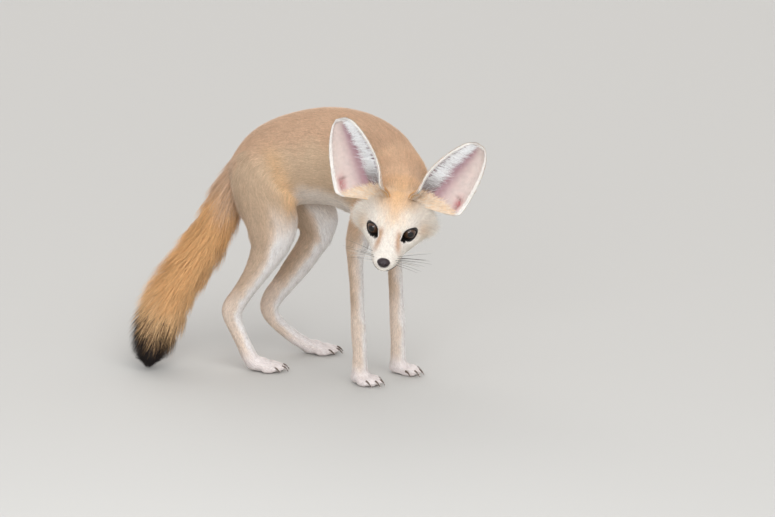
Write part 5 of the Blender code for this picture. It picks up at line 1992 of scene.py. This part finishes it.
class Muzzle:
    """The line of the mouth, and the whiskers."""

    # The front and the corner of the mouth, ahead and up, the lips' radius, how near to the mouth no
    # hair is rooted, and points along it.
    FRONT = (43.8, -17.4)
    CORNER = (14.0, -17.5)
    LIP_RADIUS = 0.6
    BARE = 1.7
    SAMPLES = 81
    # Whiskers on each side, in rows of four, each drawn with this many rings of so many points.
    WHISKERS = 12
    WHISKER_ROW = 4
    WHISKER_RINGS = 14
    WHISKER_SIDES = 5
    # How far a whisker's tip has sagged and bent back, how much thinner it is than the root in radius,
    # and its radius there.
    SAG = 4.5
    BEND = 5.0
    WHISKER_RADII = (0.16, 0.04)

    def half_width(self, ahead: np.ndarray) -> np.ndarray:
        """Half the width of the muzzle where the mouth runs."""
        return np.interp(ahead, [10, 15, 23, 31, 38, 43, 46], [14.1, 13.2, 11.9, 10.4, 7.5, 3.9, 1.2])

    def path(self, head: HeadFrame) -> np.ndarray:
        """The line of the closed mouth from corner to corner, in the part's frame."""
        t = np.linspace(-1, 1, self.SAMPLES)
        ahead = self.CORNER[0] + (self.FRONT[0] - self.CORNER[0]) * (1 - np.abs(t) ** 2.2)
        up = self.FRONT[1] + (self.CORNER[1] - self.FRONT[1]) * np.abs(t) ** 3
        x = self.half_width(ahead) * np.sign(t) * np.minimum(1, np.abs(t) * 4)
        return head.out(np.stack([x, ahead, up], axis=-1))

    def build(self, head: HeadFrame, finish: Finish) -> None:
        """Makes the dark line of the lips and the whiskers."""
        t = np.linspace(-1, 1, self.SAMPLES)
        path = self.path(head)
        thin = self.LIP_RADIUS * np.interp(np.abs(t), [0, 0.8, 1], [1, 1, 0.25])
        lips = closed_tube("lips", rings_along(path, head.axes[2], thin, thin, 12))
        paint(lips, np.broadcast_to(linear(PALETTE.lip), (len(lips.data.vertices), 3)))
        join_fox(lips, finish.of("moist_skin"))
        self.whiskers(head, finish)

    def whiskers(self, head: HeadFrame, finish: Finish) -> None:
        """Long thin tapered hairs out of each side of the muzzle, bending back and down."""
        chance = np.random.default_rng(SEED + 5)
        steps = np.linspace(0, 1, self.WHISKER_RINGS)
        per = self.WHISKER_RINGS * self.WHISKER_SIDES
        thick, fine = self.WHISKER_RADII
        thin = thick * (1 - steps) ** 0.7 + fine
        points, faces, shades = [], [], []
        for side in SIDES:
            for number in range(self.WHISKERS):
                row, column = divmod(number, self.WHISKER_ROW)
                ahead = 35 - 3.4 * column + chance.normal(0, 0.4)
                out = side * (float(self.half_width(np.array(ahead))) - 0.6)
                root = np.array([out, ahead, -10.0 - 2.3 * row])
                way = unit(np.array([side * 1.0, -0.35 - 0.16 * column, -0.1 - 0.12 * row])
                           + chance.normal(0, 0.06, 3))
                length = 24 + 4 * column + chance.uniform(-3, 5)
                path = root + way * (steps * length)[:, None]
                path[:, 2] -= self.SAG * steps**2
                path[:, 1] -= self.BEND * steps**2
                ring = rings_along(head.out(path), head.axes[2], thin, thin, self.WHISKER_SIDES)
                faces.append(grid_faces(self.WHISKER_RINGS, self.WHISKER_SIDES, True) + len(points) * per)
                points.append(ring.reshape(-1, 3))
                shades.append(0.12 if chance.random() < 0.7 else 0.8)
        piece = new_piece("whiskers", np.vstack(points), np.vstack(faces))
        paint(piece, np.repeat(np.array(shades), per)[:, None] * linear(PALETTE.face))
        join_fox(piece, finish.of("claw_horn"))


class Claws:
    """Sixteen small curved claws, four to a paw."""

    # Where each paw is, across and away, its heading in degrees and its size.
    PAWS = ((0, 0, -8, 1.0), (50, 60, -4, 1.0), (94, -44, -40, 0.95), (130, -9, -38, 0.95))
    # Each toe from its paw's middle: forward, aside and half its length.
    TOES = ((12.5, 3.7, 9.0), (12.5, -3.7, 9.0), (6.5, 9.4, 8.0), (6.5, -9.4, 8.0))
    # Rings along a claw and points round it, its length, how far inside the toe it starts, how far it
    # comes down to its tip, and the tip's height.
    RINGS = 9
    ROUND = 10
    REACH = 6.0
    INSET = 2.5
    ARCH = 4.6
    TIP_HEIGHT = 1.2

    def build(self, stance: Stance, finish: Finish) -> None:
        """Makes each claw as a cone bent down, and joins them in one piece."""
        steps = np.linspace(0, 1, self.RINGS)[:, None]
        radius = 1.05 * (1 - steps[:, 0]) ** 0.7 + 0.12
        arch = np.array([0, 0, self.ARCH]) * (1 - steps**2)
        per = self.RINGS * self.ROUND
        points, faces = [], []
        for across, away, heading, size in self.PAWS:
            turn = math.radians(heading)
            forward = np.array([math.cos(turn), math.sin(turn), 0.0])
            side = np.array([-math.sin(turn), math.cos(turn), 0.0])
            for ahead, aside, half in self.TOES:
                root = np.array([across, away, 0.0]) + (forward * ahead + side * aside) * size
                path = root + forward * (half * size - self.INSET + self.REACH * steps) + arch
                path = path + np.array([0, 0, self.TIP_HEIGHT])
                ring = rings_along(stance.out(path), stance.turned(side), radius * 0.8, radius, self.ROUND)
                faces.append(grid_faces(self.RINGS, self.ROUND, True) + len(points) * per)
                points.append(ring.reshape(-1, 3))
        piece = new_piece("claws", np.vstack(points), np.vstack(faces))
        point_outwards(piece)
        paint(piece, np.broadcast_to(linear(PALETTE.claw), (len(points) * per, 3)))
        join_fox(piece, finish.of("claw_horn"))


@dataclass
class Studio:
    """A pale floor, soft light and the camera at the photograph's angle.

    Attributes:
        stance: the turned frame.
        elevation: how far above level the camera looks from.
        distance: how far off it is.
        scale: millimetres to a pixel.
        width: the picture's width in pixels.
        middle: the picture's middle in pixels.
        origin_pixel: where the turned frame's origin shows.
        sensor: the width of the film, in millimetres.
        floor_reach: how far the floor runs each way.
        light_distance: how far from the head the lights hang, in metres.
    """

    stance: Stance
    elevation: float = math.radians(15)
    distance: float = 8000.0
    scale: float = 0.93
    width: float = 775.0
    middle: tuple = (387.5, 258.5)
    origin_pixel: tuple = (262.0, 371.0)
    sensor: float = 36.0
    floor_reach: float = 60000.0
    light_distance: float = 1.4

    # Each sun's name, the way to it, how wide it looks in degrees, and its power.
    SUNS = (
        ("key", (0.3, -0.75, 1.0), 40, 1.05),
        ("fill", (0.35, -1.0, 0.15), 70, 0.2),
        ("rim", (-0.4, 1.0, 0.9), 60, 0.8),
    )
    SKY = (0.97, 0.975, 1.0, 1)
    SKY_STRENGTH = 0.78
    # The window: the way to it, its size in metres, its power and its colour.
    WINDOW_WAY = (-0.16, -0.92, 0.4)
    WINDOW_SIZE = (0.8, 0.44)
    WINDOW_POWER = 8.0
    WINDOW_COLOUR = (0.86, 0.93, 1.0)
    FLOOR_POINTS = 9
    CLIP_END = 100

    def build(self, finish: Finish) -> None:
        """Makes the floor, the lights and the camera."""
        self.floor(finish)
        self.camera()
        self.lights()

    def floor(self, finish: Finish) -> None:
        """A flat floor that is wide enough for every view."""
        span = np.linspace(-self.floor_reach, self.floor_reach, self.FLOOR_POINTS)
        across, away = np.meshgrid(span, span)
        points = np.stack([across, away, 0 * across], axis=-1).reshape(-1, 3)
        piece = new_piece("floor", points, grid_faces(self.FLOOR_POINTS, self.FLOOR_POINTS, False))
        piece.data.materials.append(finish.floor())

    def camera(self) -> None:
        """A long lens at the photograph's height and angle."""
        across = (self.middle[0] - self.origin_pixel[0]) * self.scale
        up = (self.origin_pixel[1] - self.middle[1]) * self.scale / math.cos(self.elevation)
        target = self.stance.out(np.array([across, 0.0, up])) * MM
        back = self.stance.turned(np.array([0.0, -math.cos(self.elevation), math.sin(self.elevation)]))
        lens = bpy.data.cameras.new("camera")
        lens.sensor_width = self.sensor
        lens.lens = self.sensor * self.distance / (self.width * self.scale)
        lens.clip_end = self.CLIP_END
        camera = new_object("camera", lens)
        camera.location = Vector(target + back * self.distance * MM)
        camera.rotation_euler = Vector(-back).to_track_quat("-Z", "Y").to_euler()
        bpy.context.scene.camera = camera

    def lights(self) -> None:
        """Soft even light from all round, with a broad key above the camera and two weaker lights."""
        world = bpy.data.worlds.new("studio")
        world.use_nodes = True
        sky = world.node_tree.nodes["Background"]
        sky.inputs["Color"].default_value = self.SKY
        sky.inputs["Strength"].default_value = self.SKY_STRENGTH
        bpy.context.scene.world = world
        for name, way, spread, power in self.SUNS:
            sun = bpy.data.lights.new(name, "SUN")
            sun.angle = math.radians(spread)
            sun.energy = power
            self.place(sun, np.array(way, float))
        window = bpy.data.lights.new("window", "AREA")
        window.shape = "RECTANGLE"
        window.size, window.size_y = self.WINDOW_SIZE
        window.energy = self.WINDOW_POWER
        window.color = self.WINDOW_COLOUR
        self.place(window, np.array(self.WINDOW_WAY))
        bpy.context.scene.view_settings.view_transform = "Standard"

    def place(self, light: bpy.types.Light, way: np.ndarray) -> None:
        """Hangs a light on the side that a way of the turned frame points to, facing the head."""
        lamp = new_object(light.name, light)
        way = self.stance.turned(way)
        lamp.rotation_euler = Vector(-way).to_track_quat("-Z", "Y").to_euler()
        head = self.stance.out(np.array(Stance.EYE_MIDDLE)) * MM
        lamp.location = Vector(head + unit(way) * self.light_distance)


def main() -> None:
    """Builds the fox's looks and the studio."""
    logging.basicConfig(level=logging.INFO, format="%(message)s")
    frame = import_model()
    head = HeadFrame.from_frame()
    stance = Stance.from_head(head)
    finish = Finish()
    anatomy = Anatomy(head, stance)
    markings = Markings(head, stance)
    brush = TailBrush(stance, markings)
    body = Skin()
    skin, spots = body.build(frame, head, brush.core(), anatomy, markings)
    join_fox(skin, finish.of("fur_undercoat"))
    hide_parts(*FLESH_NODES, "tail")
    Coat(skin, spots, anatomy, markings, head, finish).build()
    brush.build(finish)
    for side in SIDES:
        Eye(side, head).build(body.face, finish)
    Nose().build(head, finish)
    Muzzle().build(head, finish)
    for ear in EARS:
        ear.build(head, finish)
    Claws().build(stance, finish)
    Studio(stance).build(finish)


if __name__ == "__main__":
    main()
